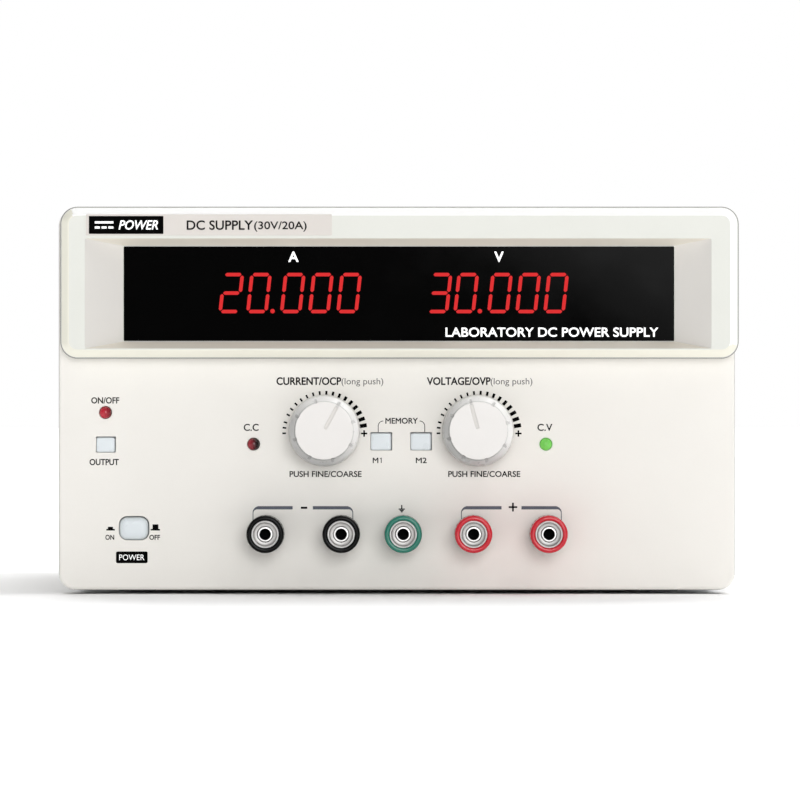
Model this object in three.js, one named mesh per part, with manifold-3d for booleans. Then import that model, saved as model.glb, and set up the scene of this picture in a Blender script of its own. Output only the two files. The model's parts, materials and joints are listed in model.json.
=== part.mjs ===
// A bench DC power supply: a moulded front with a proud display hood, a wrapped steel case, two push-turn
// knobs, push buttons, five binding posts, and the transformer, heat sink, fan and boards inside.
// Millimetres, +Z up. Every depth is measured from the face of the lower front panel, +Y to the rear;
// the exported group shifts that so that the origin is the bottom centre of the whole object.
import * as THREE from "three";
import { mergeVertices } from "three/addons/utils/BufferGeometryUtils.js";
import Module from "manifold-3d";

const wasm = await Module();
wasm.setup();

// ---------- driving dimensions ----------
const GAP = 0.2; // between pieces that are fastened face to face
const BENCH = 2.5; // heights are drawn from this far below the bench, and the whole is lowered at the end
const FRONT = { x: -0.5, width: 254.5, bottom: 4, top: 147.5, depth: 20, wall: 3, corner: 6.5 };
const HOOD = { x: 0.5, width: 254.5, bottom: 91, top: 148, depth: 11, corner: 6.5, bevel: 3 };
const RECESS = { width: 234.6, bottom: 94.8, top: 136, depth: 7.4 };
const WINDOW = { width: 206.4, bottom: 97.7, top: 133.2, thick: 2, lap: 3 };

const CASE = { width: 246, bottom: 7.4, top: 143.8, front: 12, rear: 300, sheet: 1.2, corner: 4, skirt: 11 };
const FOOT_HEIGHT = CASE.bottom - GAP - BENCH;
const REAR_PLATE = CASE.rear - 2; // outer face of the rear panel, set in under the cover's edge
const REAR_SHEET = 1.5;

const KNOB = { baseRadius: 13.5, faceRadius: 10.9, bevel: 2.3, front: -17, back: -2.2, nicks: 8 };
const KNOBS = [
  { name: "current", x: -27.7, z: 64, pointer: 61.6 },
  { name: "voltage", x: 30, z: 64, pointer: 105.4 },
];

const BUTTON_RECESS = 0.6; // a button's face lies this far behind the panel's face
const BUTTON_GAP = 0.4;
const KEYS = [
  { name: "output", x: -110.1, z: 58.6, width: 7, height: 5.6 },
  { name: "memory_1", x: -6.5, z: 59.8, width: 7.7, height: 6.4 },
  { name: "memory_2", x: 8.5, z: 59.8, width: 7.7, height: 6.4 },
];
const POWER = { x: -99.5, z: 27.1, width: 11, height: 8.6, corner: 3 };

const LAMP_RADIUS = 2.25;
const LAMPS = [
  { name: "output_led", x: -110.1, z: 70.8, colour: 0xb02030 },
  { name: "cc_led", x: -54.4, z: 58.9, colour: 0x701820 },
  { name: "cv_led", x: 55.6, z: 58.9, colour: 0x60c050 },
];

const POST_Z = 25.3;
const POST = {
  radius: 7, insert: 5.2, bore: 3.15, stud: 2.8, socket: 2, front: -18.4, collar: -2.4, washer: 0.8,
};
const POSTS = [
  { name: "negative_1", x: -49.7, colour: 0x141414 },
  { name: "negative_2", x: -21.3, colour: 0x141414 },
  { name: "ground", x: 1.9, colour: 0x2a7d6b },
  { name: "positive_1", x: 28.2, colour: 0xc22b3a },
  { name: "positive_2", x: 56.4, colour: 0xc22b3a },
];

const BOARD = { front: 14, thick: 1.6 };
const FAN = { x: -62, z: 78, size: 80, depth: 25, mouth: 38, hub: 17, tip: 36.6, blades: 7, screws: 35.75 };
const INLET = { x: 88, z: 56, width: 31, height: 42, cavityWidth: 24, cavityHeight: 16, cavityZ: -8 };
const FUSE = { z: 11.5, width: 20, height: 9, depth: 20 };
const SELECTOR = { x: 88, z: 98, width: 30, height: 16, plugWidth: 18, plugHeight: 12 };
const SLOT = { width: 4, pitch: 11, count: 9, firstY: 184, low: 40, high: 78, topX: 62, topHalf: 38 };
const FOOT = { x: 100, front: 45, rear: 270, radius: 8.5 };

// ---------- materials ----------
const finish = (color, roughness, metalness = 0) =>
  new THREE.MeshStandardMaterial({ color, roughness, metalness });
const IVORY = finish(0xf0ede8, 0.55);
const HOOD_IVORY = finish(0xebece6, 0.5);
const PAINT = finish(0xcfccc3, 0.6, 0.2);
const STEEL = finish(0xa8aaac, 0.4, 0.9);
const NICKEL = finish(0xd0d0cc, 0.25, 1);
const BLACK = finish(0x181818, 0.5);
const GLOSS_BLACK = finish(0x040404, 0.1);
const RUBBER = finish(0x202020, 0.9);
const KNOB_IVORY = finish(0xeeebe8, 0.4);
const KEY_GREY = finish(0xe2e8ea, 0.4);
const BOARD_GREEN = finish(0x1f5c38, 0.6);
const ALUMINIUM = finish(0xb9bcc0, 0.4, 0.9);
const IRON = finish(0x4a4642, 0.6, 0.6);
const LABEL = finish(0xe5e0dc, 0.4);
const SLEEVE = finish(0x1d2a4a, 0.4);

// ---------- solids ----------
// A geometry as a manifold-3d solid. Only positions are kept, so that shared corners merge.
function solidOf(geometry) {
  const bare = geometry.clone();
  bare.deleteAttribute("normal");
  bare.deleteAttribute("uv");
  const merged = mergeVertices(bare, 1e-4);
  const index = merged.index.array;
  const kept = [];
  for (let i = 0; i < index.length; i += 3) {
    const [a, b, c] = [index[i], index[i + 1], index[i + 2]];
    if (a !== b && b !== c && a !== c) kept.push(a, b, c);
  }
  const mesh = new wasm.Mesh({
    numProp: 3,
    vertProperties: merged.attributes.position.array,
    triVerts: new Uint32Array(kept),
  });
  return new wasm.Manifold(mesh);
}

function geometryOf(solid) {
  const mesh = solid.getMesh();
  const geometry = new THREE.BufferGeometry();
  geometry.setAttribute("position", new THREE.BufferAttribute(mesh.vertProperties, 3));
  geometry.setIndex(new THREE.BufferAttribute(mesh.triVerts, 1));
  return geometry;
}

const cut = (from, ...tools) =>
  geometryOf(tools.reduce((solid, tool) => solid.subtract(solidOf(tool)), solidOf(from)));
const join = (first, ...others) =>
  geometryOf(others.reduce((solid, other) => solid.add(solidOf(other)), solidOf(first)));

// A box given by its lowest and highest corner.
function block(x0, x1, y0, y1, z0, z1) {
  return new THREE.BoxGeometry(x1 - x0, y1 - y0, z1 - z0)
    .translate((x0 + x1) / 2, (y0 + y1) / 2, (z0 + z1) / 2);
}

// A solid of revolution about the Y axis from [radius, y] corners. A profile off the axis is closed.
function turned(profile, segments = 24) {
  const points = profile.map(([radius, y]) => new THREE.Vector2(radius, y));
  if (points[0].x > 0) points.push(points[0].clone());
  if (THREE.ShapeUtils.area(points) < 0) points.reverse();
  return new THREE.LatheGeometry(points, segments);
}

const rod = (radius, y0, y1, segments = 20) =>
  turned([[0, y0], [radius, y0], [radius, y1], [0, y1]], segments);

const ring = (inner, outer, y0, y1, segments = 24) =>
  turned([[inner, y0], [outer, y0], [outer, y1], [inner, y1]], segments);

function roundedOutline(width, height, radius) {
  const [w, h] = [width / 2, height / 2];
  const shape = new THREE.Shape();
  shape.moveTo(radius - w, -h);
  shape.lineTo(w - radius, -h);
  shape.absarc(w - radius, radius - h, radius, -Math.PI / 2, 0);
  shape.lineTo(w, h - radius);
  shape.absarc(w - radius, h - radius, radius, 0, Math.PI / 2);
  shape.lineTo(radius - w, h);
  shape.absarc(radius - w, h - radius, radius, Math.PI / 2, Math.PI);
  shape.lineTo(-w, radius - h);
  shape.absarc(radius - w, radius - h, radius, Math.PI, Math.PI * 1.5);
  return shape;
}

// A rounded rectangle in X and Z, centred, from depth y0 to y1. A bevel rounds its front edge.
function roundedSlab(width, height, radius, y0, y1, bevel = 0, curveSegments = 4) {
  if (!bevel) {
    return new THREE.ExtrudeGeometry(roundedOutline(width, height, radius), {
      depth: y1 - y0, bevelEnabled: false, curveSegments,
    }).rotateX(Math.PI / 2).translate(0, y1, 0);
  }
  // The bevel would run round both faces, so the slab is made longer and its rear is cut off.
  const spare = 2 * bevel;
  const outline = roundedOutline(width - 2 * bevel, height - 2 * bevel, Math.max(radius - bevel, 0.5));
  const long = new THREE.ExtrudeGeometry(outline, {
    depth: y1 - y0 + spare - 2 * bevel, bevelEnabled: true, bevelThickness: bevel, bevelSize: bevel,
    bevelSegments: 2, curveSegments,
  }).rotateX(Math.PI / 2).translate(0, y1 + spare - bevel, 0);
  return cut(long, block(-width, width, y1, y1 + 3 * spare, -height, height));
}

// A four-sided funnel from one rectangle at y0 to another at y1: [width, low z, high z].
function funnel([width0, low0, high0], y0, [width1, low1, high1], y1) {
  const box = new THREE.BoxGeometry(1, 1, 1);
  const corners = box.attributes.position;
  for (let i = 0; i < corners.count; i++) {
    const front = corners.getY(i) < 0;
    const width = front ? width0 : width1;
    const [low, high] = front ? [low0, high0] : [low1, high1];
    corners.setXYZ(i, corners.getX(i) * width, front ? y0 : y1, corners.getZ(i) < 0 ? low : high);
  }
  return box;
}

// ---------- assembly ----------
const supply = new THREE.Group();

function place(name, geometry, material, x = 0, y = 0, z = 0) {
  const mesh = new THREE.Mesh(geometry, material);
  mesh.name = name;
  mesh.position.set(x, y, z);
  supply.add(mesh);
  return mesh;
}

// ---------- enclosure ----------
function frontPanel() {
  const height = FRONT.top - FRONT.bottom;
  const middle = (FRONT.top + FRONT.bottom) / 2;
  const { wall, corner } = FRONT;
  const shell = roundedSlab(FRONT.width, height, corner, 0, FRONT.depth, 1).translate(FRONT.x, 0, middle);
  const hollow = roundedSlab(
    FRONT.width - 2 * wall, height - 2 * wall, corner - wall, wall, FRONT.depth + 1,
  ).translate(FRONT.x, 0, middle);
  const through = [-1, wall + 1];
  const keyHole = (key, radius, segments) =>
    roundedSlab(
      key.width + 2 * BUTTON_GAP, key.height + 2 * BUTTON_GAP, radius, ...through, 0, segments,
    ).translate(key.x, 0, key.z);
  const holes = [
    block(-WINDOW.width / 2, WINDOW.width / 2, ...through, WINDOW.bottom, WINDOW.top),
    ...KNOBS.map((k) => rod(4.8, ...through, 16).translate(k.x, 0, k.z)),
    ...LAMPS.map((l) => rod(LAMP_RADIUS + 0.2, ...through, 12).translate(l.x, 0, l.z)),
    ...KEYS.map((k) => keyHole(k, 0.6, 2)),
    keyHole(POWER, POWER.corner + BUTTON_GAP, 3),
    ...POSTS.map((p) => rod(POST.radius - 0.1, ...through, 16).translate(p.x, 0, POST_Z)),
  ];
  return cut(shell, hollow, ...holes);
}

function displayHood() {
  const height = HOOD.top - HOOD.bottom;
  const front = -HOOD.depth;
  const body = roundedSlab(HOOD.width, height, HOOD.corner, front, -GAP, HOOD.bevel)
    .translate(HOOD.x, 0, (HOOD.top + HOOD.bottom) / 2);
  const recessFloor = front + RECESS.depth;
  const lap = WINDOW.lap;
  // The funnel starts in front of the face, along its own slope, so that the cut leaves a clean edge.
  const slope = 1 / RECESS.depth;
  const sideRun = ((RECESS.width - WINDOW.width) / 2) * slope;
  const lowRun = (WINDOW.bottom - RECESS.bottom) * slope;
  const highRun = (RECESS.top - WINDOW.top) * slope;
  return cut(
    body,
    funnel(
      [RECESS.width + 2 * sideRun, RECESS.bottom - lowRun, RECESS.top + highRun], front - 1,
      [WINDOW.width, WINDOW.bottom, WINDOW.top], recessFloor,
    ),
    block(-WINDOW.width / 2, WINDOW.width / 2, recessFloor - 1, 1, WINDOW.bottom, WINDOW.top),
    block(
      -WINDOW.width / 2 - lap, WINDOW.width / 2 + lap, -WINDOW.thick - 3 * GAP, 1,
      WINDOW.bottom - lap, WINDOW.top + lap,
    ),
  );
}

function displayWindow() {
  const lap = WINDOW.lap - GAP;
  return block(
    -WINDOW.width / 2 - lap, WINDOW.width / 2 + lap, -WINDOW.thick - 2 * GAP, -2 * GAP,
    WINDOW.bottom - lap, WINDOW.top + lap,
  );
}

const LABEL_BOX = { left: -116.9, right: -24.8, bottom: 137.2, top: 144.9, thick: 0.3 };

function ratingLabel() {
  const { left, right, bottom, top, thick } = LABEL_BOX;
  const face = -HOOD.depth - 0.05;
  return block(left, right, face - thick, face, bottom, top);
}

// Slots through a wall: a row of narrow boxes at a steady pitch along Y.
function slotRow(count, firstY, pitch, make) {
  return Array.from({ length: count }, (_, i) => make(firstY + i * pitch));
}

function topCover() {
  const [w, sheet] = [CASE.width / 2, CASE.sheet];
  const shell = (inset, y0, y1) =>
    roundedSlab(CASE.width - 2 * inset, 2 * (CASE.top - inset), CASE.corner - inset, y0, y1);
  const belowSkirt = block(-w - 1, w + 1, CASE.front - 1, CASE.rear + 1, -CASE.top - 1, CASE.skirt);
  const sideSlots = slotRow(SLOT.count, SLOT.firstY, SLOT.pitch, (y) =>
    block(-w - 1, w + 1, y, y + SLOT.width, SLOT.low, SLOT.high));
  const topSlots = [-1, 1].flatMap((side) =>
    slotRow(SLOT.count, SLOT.firstY, SLOT.pitch, (y) =>
      block(-SLOT.topHalf, SLOT.topHalf, y, y + SLOT.width, CASE.top - 5, CASE.top + 5)
        .translate(side * SLOT.topX, 0, 0)));
  return cut(
    shell(0, CASE.front, CASE.rear), shell(sheet, CASE.front - 1, CASE.rear + 1), belowSkirt,
    ...sideSlots, ...topSlots,
  );
}

const TRAY_FLANGE = 24;

function bottomTray() {
  const w = CASE.width / 2 - CASE.sheet - GAP;
  const [front, rear] = [FRONT.depth - 6, REAR_PLATE - REAR_SHEET - GAP];
  const outer = block(-w, w, front, rear, CASE.bottom, CASE.bottom + TRAY_FLANGE);
  const floor = CASE.bottom + CASE.sheet;
  const inner = block(-w + CASE.sheet, w - CASE.sheet, front - 1, rear - CASE.sheet, floor, 60);
  return cut(outer, inner, block(-w - 1, w + 1, front - 1, FRONT.depth + 2, floor, 60));
}

function rearPanel() {
  const inset = CASE.sheet + GAP;
  const through = [REAR_PLATE - 3, REAR_PLATE + 2];
  const plate = roundedSlab(
    CASE.width - 2 * inset, 2 * (CASE.top - inset), CASE.corner - inset, REAR_PLATE - REAR_SHEET, REAR_PLATE,
  );
  const belowTray = block(-CASE.width, CASE.width, ...through, -CASE.top, CASE.bottom);
  const slots = Array.from({ length: 6 }, (_, i) =>
    block(4 + i * 8, 7 + i * 8, ...through, 58, 108));
  const [plugW, plugH] = [SELECTOR.plugWidth / 2 + GAP, SELECTOR.plugHeight / 2 + GAP];
  return cut(
    plate, belowTray,
    rod(FAN.mouth, ...through, 24).translate(FAN.x, 0, FAN.z),
    block(
      INLET.x - INLET.width / 2 + 2 - GAP, INLET.x + INLET.width / 2 - 2 + GAP, ...through,
      INLET.z - INLET.height / 2 + 2 - GAP, INLET.z + INLET.height / 2 - 2 + GAP,
    ),
    block(-plugW, plugW, ...through, -plugH, plugH).translate(SELECTOR.x, 0, SELECTOR.z),
    ...slots,
  );
}

const foot = () =>
  turned([
    [0, 0], [FOOT.radius - 1, 0], [FOOT.radius, 1.2], [FOOT.radius, FOOT_HEIGHT], [0, FOOT_HEIGHT],
  ], 16).rotateX(Math.PI / 2);

function buildEnclosure() {
  place("front_panel", frontPanel(), IVORY);
  place("display_hood", displayHood(), HOOD_IVORY);
  place("display_window", displayWindow(), GLOSS_BLACK);
  place("rating_label", ratingLabel(), LABEL);
  place("top_cover", topCover(), PAINT);
  place("bottom_tray", bottomTray(), STEEL);
  place("rear_panel", rearPanel(), PAINT);
  for (const [depthName, y] of [["front", FOOT.front], ["rear", FOOT.rear]])
    for (const [sideName, x] of [["left", -FOOT.x], ["right", FOOT.x]])
      place(`foot_${depthName}_${sideName}`, foot(), RUBBER, x, y, BENCH);
}

// ---------- display ----------
const DISPLAYS = [
  { name: "current_display", x: -40.6 },
  { name: "voltage_display", x: 37.4 },
];

function buildDisplay() {
  for (const { name, x } of DISPLAYS) place(name, block(-30, 30, 0.3, 8.3, -11, 11), BLACK, x, 0, 115.6);
  place("display_board", block(-98, 98, 8.6, 10.2, 99, 131.5), BOARD_GREEN);
}

// ---------- knobs and their encoders ----------
function knobBody(pointerDegrees) {
  const { front, back, baseRadius, faceRadius, bevel } = KNOB;
  const outside = turned([
    [0, front], [faceRadius, front], [baseRadius - 0.5, front + bevel], [baseRadius, back - 1],
    [baseRadius, back], [7, back], [7, back - 4], [3.3, back - 4], [3.3, front + 3], [0, front + 3],
  ], 24);
  const pointer = roundedSlab(10, 1.2, 0.55, front - 1, front + 0.5, 0, 3)
    .translate(5.2, 0, 0).rotateY(-THREE.MathUtils.degToRad(pointerDegrees));
  const nicks = Array.from({ length: KNOB.nicks }, (_, i) => {
    const angle = THREE.MathUtils.degToRad(pointerDegrees + (i * 360) / KNOB.nicks);
    return block(faceRadius - 0.1, baseRadius, front - 1, front + bevel / 2, -0.3, 0.3).rotateY(-angle);
  });
  return cut(outside, pointer, ...nicks);
}

const ENCODER = { front: 7, back: 13.8, bushing: 4.5, shaft: 3, size: 12.4 };

function encoderBody() {
  const half = ENCODER.size / 2;
  const housing = block(-half, half, ENCODER.front, ENCODER.back, -half, half);
  return cut(
    join(housing, rod(ENCODER.bushing, -1.6, ENCODER.front + 1, 16)),
    rod(ENCODER.shaft + 0.3, -3, 11.4, 12),
    rod(2.2, 10, 15, 8),
  );
}

function encoderShaft() {
  const shaft = rod(ENCODER.shaft, KNOB.front + 3.3, 9.5, 16);
  return cut(shaft, block(-4, 4, KNOB.front, -4, 1.6, 4)); // the flat that the knob grips
}

function buildKnobs() {
  for (const knob of KNOBS) {
    const at = [knob.x, 0, knob.z];
    place(`${knob.name}_knob`, knobBody(knob.pointer), KNOB_IVORY, ...at);
    place(`${knob.name}_encoder_shaft`, encoderShaft(), STEEL, ...at);
    place(`${knob.name}_encoder_plunger`, rod(1.8, 9.7, 12.1, 8), STEEL, ...at);
    place(`${knob.name}_encoder_body`, encoderBody(), STEEL, ...at);
  }
}

// ---------- buttons and lamps ----------
function keyCap({ width, height }) {
  return join(
    roundedSlab(width, height, 0.6, BUTTON_RECESS, 4.6, 0, 2),
    block(-width / 2 - 1.2, width / 2 + 1.2, 3.8, 5, -height / 2 - 1.2, height / 2 + 1.2),
    rod(1.75, 4, 8.5, 12),
  );
}

function powerCap() {
  const { width, height, corner } = POWER;
  return join(
    roundedSlab(width, height, corner, BUTTON_RECESS, 8, 0.6, 3),
    block(-width / 2 - 1.4, width / 2 + 1.4, 7, 8.4, -height / 2 - 1.4, height / 2 + 1.4),
    block(-2.5, 2.5, 7.5, 24, -2.5, 2.5),
  );
}

const powerSwitch = () => cut(block(-8, 8, 16, 46, -9, 9), block(-2.9, 2.9, 15, 30, -2.9, 2.9));

const lamp = () =>
  turned([
    [0, -1.7], [1.3, -1.3], [2.1, -0.2], [LAMP_RADIUS, 0.8], [LAMP_RADIUS, 3.5],
    [2.9, 3.5], [2.9, 4.8], [2.2, 4.8], [2.2, BOARD.front - GAP], [0, BOARD.front - GAP],
  ], 12);

// The board behind the lower panel, with the three small switches soldered to its face.
function controlBoard() {
  const plate = block(-118, 76, BOARD.front, BOARD.front + BOARD.thick, 47, 80);
  const switches = KEYS.map((k) => block(k.x - 3, k.x + 3, 9.8, BOARD.front + 0.5, k.z - 3, k.z + 3));
  return join(plate, ...switches);
}

function buildControls() {
  for (const key of KEYS) place(`${key.name}_button`, keyCap(key), KEY_GREY, key.x, 0, key.z);
  place("power_button", powerCap(), KEY_GREY, POWER.x, 0, POWER.z);
  place("power_switch", powerSwitch(), BLACK, POWER.x, 0, POWER.z);
  for (const l of LAMPS) place(l.name, lamp(), finish(l.colour, 0.2), l.x, 0, l.z);
  place("control_board", controlBoard(), BOARD_GREEN);
}

// ---------- binding posts ----------
// One moulded strip behind the panel insulates all five posts; its collars stand through the panel.
function terminalInsulator() {
  const strip = block(-60, 67, FRONT.wall + 0.3, FRONT.wall + 3.3, POST_Z - 9, POST_Z + 9);
  const collars = POSTS.map((p) =>
    rod(POST.radius - 0.4, POST.collar, FRONT.wall + 1, 16).translate(p.x, 0, POST_Z));
  const bores = POSTS.map((p) => rod(POST.bore, -5, 10, 12).translate(p.x, 0, POST_Z));
  return cut(join(strip, ...collars), ...bores);
}

const STUD = { front: -17, back: 16, socketEnd: 5, nutFront: 7, nutBack: 11, nutRadius: 5 };

const stud = () =>
  turned([
    [0, STUD.back], [POST.stud, STUD.back], [POST.stud, STUD.nutBack], [STUD.nutRadius, STUD.nutBack],
    [STUD.nutRadius, STUD.nutFront], [POST.stud, STUD.nutFront], [POST.stud, STUD.front],
    [POST.socket, STUD.front], [POST.socket, STUD.socketEnd], [0, STUD.socketEnd],
  ], 12);

const washer = () => ring(POST.bore, 5.8, POST.collar - 0.1 - POST.washer, POST.collar - 0.1, 16);

const CAP_BACK = POST.collar - 0.25 - POST.washer;

const postCap = () =>
  turned([
    [POST.bore, CAP_BACK], [POST.radius, CAP_BACK], [POST.radius, POST.front + 1],
    [POST.radius - 1, POST.front], [POST.insert, POST.front], [POST.insert - 0.1, POST.front + 0.5],
    [4.3, POST.front + 0.8], [4.1, POST.front + 3.8], [POST.bore, POST.front + 3.8],
  ], 20);

function buildPosts() {
  place("terminal_insulator", terminalInsulator(), BLACK);
  for (const post of POSTS) {
    const at = [post.x, 0, POST_Z];
    place(`${post.name}_stud`, stud(), NICKEL, ...at);
    place(`${post.name}_washer`, washer(), NICKEL, ...at);
    place(`${post.name}_cap`, postCap(), finish(post.colour, 0.3), ...at);
  }
}

// ---------- rear fittings ----------
// What make returns for each of the fan's four screws, given the screw's place from the fan's middle.
const atFanScrews = (make, reach = FAN.screws) =>
  [-1, 1].flatMap((sx) => [-1, 1].map((sz) => make(sx, sz).translate(sx * reach, 0, sz * reach)));

const FAN_BACK = REAR_PLATE - REAR_SHEET - GAP;

function fanFrame() {
  const half = FAN.size / 2;
  const front = FAN_BACK - FAN.depth;
  const through = [front - 1, FAN_BACK + 1];
  const body = cut(block(-half, half, front, FAN_BACK, -half, half), rod(FAN.mouth, ...through, 24));
  const arms = [0, 1].map((i) =>
    block(-half + 0.5, half - 0.5, front, front + 3, -2, 2).rotateY(Math.PI / 4 + (i * Math.PI) / 2));
  const motor = rod(FAN.hub - 1, front, front + 5, 20);
  const screwHoles = atFanScrews(() => rod(2.1, ...through, 8));
  const clipped = arms.map((arm) => geometryOf(
    solidOf(arm).intersect(solidOf(block(-half, half, front, front + 3, -half, half)))));
  return cut(join(body, motor, ...clipped), ...screwHoles);
}

function fanRotor() {
  const back = FAN_BACK - 2;
  const front = back - FAN.depth + 8;
  const hub = turned([
    [0, front], [FAN.hub, front], [FAN.hub, back - 1.5], [FAN.hub - 1.5, back], [0, back],
  ], 20);
  const blade = () => {
    const plate = new THREE.BoxGeometry(FAN.tip - FAN.hub + 3, 1.6, 22, 2, 1, 1);
    const corners = plate.attributes.position;
    for (let i = 0; i < corners.count; i++) {
      const twist = -0.85 + 0.28 * ((corners.getX(i) + 10) / 20);
      const [y, z] = [corners.getY(i), corners.getZ(i)];
      corners.setY(i, y * Math.cos(twist) - z * Math.sin(twist));
      corners.setZ(i, y * Math.sin(twist) + z * Math.cos(twist));
    }
    return plate.translate((FAN.tip + FAN.hub - 3) / 2, (front + back) / 2, 0);
  };
  const blades = Array.from({ length: FAN.blades }, (_, i) =>
    blade().rotateY((i * 2 * Math.PI) / FAN.blades));
  const sweep = solidOf(rod(FAN.tip, front, back, 24));
  return geometryOf(solidOf(join(hub, ...blades)).intersect(sweep));
}

function fanGuard() {
  const y = REAR_PLATE + 4.2;
  const rings = [12, 24, 36].map((radius) =>
    new THREE.TorusGeometry(radius, 0.8, 4, 16).rotateX(Math.PI / 2));
  const spokes = [0, 1].map((i) =>
    new THREE.CylinderGeometry(0.8, 0.8, 101, 5).rotateZ(Math.PI / 2)
      .rotateY(Math.PI / 4 + (i * Math.PI) / 2));
  const plate = REAR_PLATE + GAP - y;
  const tabs = atFanScrews(() => ring(2.2, 4.2, plate, plate + 1.6, 8));
  const legs = atFanScrews((sx, sz) =>
    block(-1.2, 1.2, plate, 0.8, -0.8, 0.8).rotateY((sx * sz * Math.PI) / 4), 33);
  return join(rings[0], ...rings.slice(1), ...spokes, ...tabs, ...legs).translate(0, y, 0);
}

// The flange lies on the rear panel; the socket and the fuse drawer's slot open in it.
function mainsInlet() {
  const back = REAR_PLATE + 3;
  const [w, h] = [INLET.width / 2, INLET.height / 2];
  const body = join(
    roundedSlab(INLET.width, INLET.height, 2, REAR_PLATE + GAP, back, 0, 3),
    block(-w + 2, w - 2, REAR_PLATE - 24, REAR_PLATE + 1, -h + 2, h - 2),
  );
  const [cw, ch, cz] = [INLET.cavityWidth / 2, INLET.cavityHeight / 2, INLET.cavityZ];
  const socket = block(-cw, cw, back - 16, back + 1, cz - ch, cz + ch);
  const slot = block(
    -FUSE.width / 2 - 0.3, FUSE.width / 2 + 0.3, back - FUSE.depth - 1, back + 1,
    FUSE.z - FUSE.height / 2 - 0.3, FUSE.z + FUSE.height / 2 + 0.3,
  );
  const pin = (x, z) => block(x - 1, x + 1, back - 17, back - 3, cz + z - 2, cz + z + 2);
  return join(cut(body, socket, slot), pin(-7, -0.5), pin(7, -0.5), pin(0, 4));
}

function fuseDrawer() {
  const back = REAR_PLATE + 3;
  const { width, height, depth, z } = FUSE;
  const drawer = block(-width / 2, width / 2, back - depth, back + 0.8, z - height / 2, z + height / 2);
  const tray = block(-width / 2 + 1.5, width / 2 - 1.5, back - depth + 1.5, back - 2.5, z - 2, z + height);
  return cut(drawer, tray);
}

function voltageSelector() {
  const back = REAR_PLATE + 1.6;
  const [w, h] = [SELECTOR.width / 2, SELECTOR.height / 2];
  const [plugW, plugH] = [SELECTOR.plugWidth / 2, SELECTOR.plugHeight / 2];
  const body = join(
    block(-w, w, REAR_PLATE + GAP, back, -h, h),
    block(-plugW, plugW, REAR_PLATE - 12, REAR_PLATE + 1, -plugH, plugH),
  );
  return cut(body, block(-6.2, 6.2, back - 4.6, back + 1, -2.8, 2.8));
}

const selectorSlider = () => block(-5.9, -0.1, REAR_PLATE - 2.7, REAR_PLATE + 2.2, -2.5, 2.5);

function buildRear() {
  place("fan_frame", fanFrame(), BLACK, FAN.x, 0, FAN.z);
  place("fan_rotor", fanRotor(), BLACK, FAN.x, 0, FAN.z);
  place("fan_guard", fanGuard(), STEEL, FAN.x, 0, FAN.z);
  place("mains_inlet", mainsInlet(), BLACK, INLET.x, 0, INLET.z);
  place("fuse_drawer", fuseDrawer(), BLACK, INLET.x, 0, INLET.z);
  place("voltage_selector", voltageSelector(), BLACK, SELECTOR.x, 0, SELECTOR.z);
  place("selector_slider", selectorSlider(), finish(0xb02a20, 0.4), SELECTOR.x, 0, SELECTOR.z);
}

// ---------- inside ----------
const FLOOR = CASE.bottom + CASE.sheet + GAP;

function transformer() {
  const core = block(-43, 43, -30, 30, 0, 86);
  const winding = block(-27, 27, -45, 45, 16, 70);
  const brackets = block(-48, 48, -24, 24, 0, 3);
  return join(core, winding, brackets);
}

function heatSink() {
  const base = block(-45, 45, -40, 40, 0, 8);
  const fins = Array.from({ length: 10 }, (_, i) => block(-45 + i * 9.6, -42 + i * 9.6, -40, 40, 7, 62));
  return join(base, ...fins);
}

function mainBoard() {
  const plate = block(-58, 58, -45, 45, 8, 9.6);
  const posts = [-50, 50].flatMap((x) => [-38, 38].map((y) => block(x - 3, x + 3, y - 3, y + 3, 0, 8.5)));
  const relay = block(-52, -30, -40, -22, 9, 26);
  const connector = block(-10, 18, -42, -34, 9, 19);
  return join(plate, ...posts, relay, connector);
}

const upright = (radius, height) => rod(radius, 0, height, 16).rotateX(Math.PI / 2);

function buildInside() {
  place("transformer", transformer(), IRON, -62, 170, FLOOR);
  place("heat_sink", heatSink(), ALUMINIUM, 62, 232, FLOOR);
  place("main_board", mainBoard(), BOARD_GREEN, 56, 110, FLOOR);
  for (const [name, x] of [["filter_capacitor_1", 46], ["filter_capacitor_2", 86]])
    place(name, upright(17, 50), SLEEVE, x, 118, FLOOR + 9.6 + GAP);
  place("bridge_rectifier", block(-14, 14, -40.2 - 8, -40.2, 30, 58), BLACK, 62, 232, FLOOR);
}

buildEnclosure();
buildDisplay();
buildKnobs();
buildControls();
buildPosts();
buildRear();
buildInside();

// The origin is the middle of the depth, from the front of the post caps to the back of the fan guard.
const FRONT_MOST = POST.front;
const REAR_MOST = REAR_PLATE + 5;
supply.position.y = -(FRONT_MOST + REAR_MOST) / 2;
supply.position.z = -BENCH;

export default supply;
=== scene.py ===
import json
import math

import bmesh
import bpy
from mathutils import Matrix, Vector
from mathutils.geometry import tessellate_polygon


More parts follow.
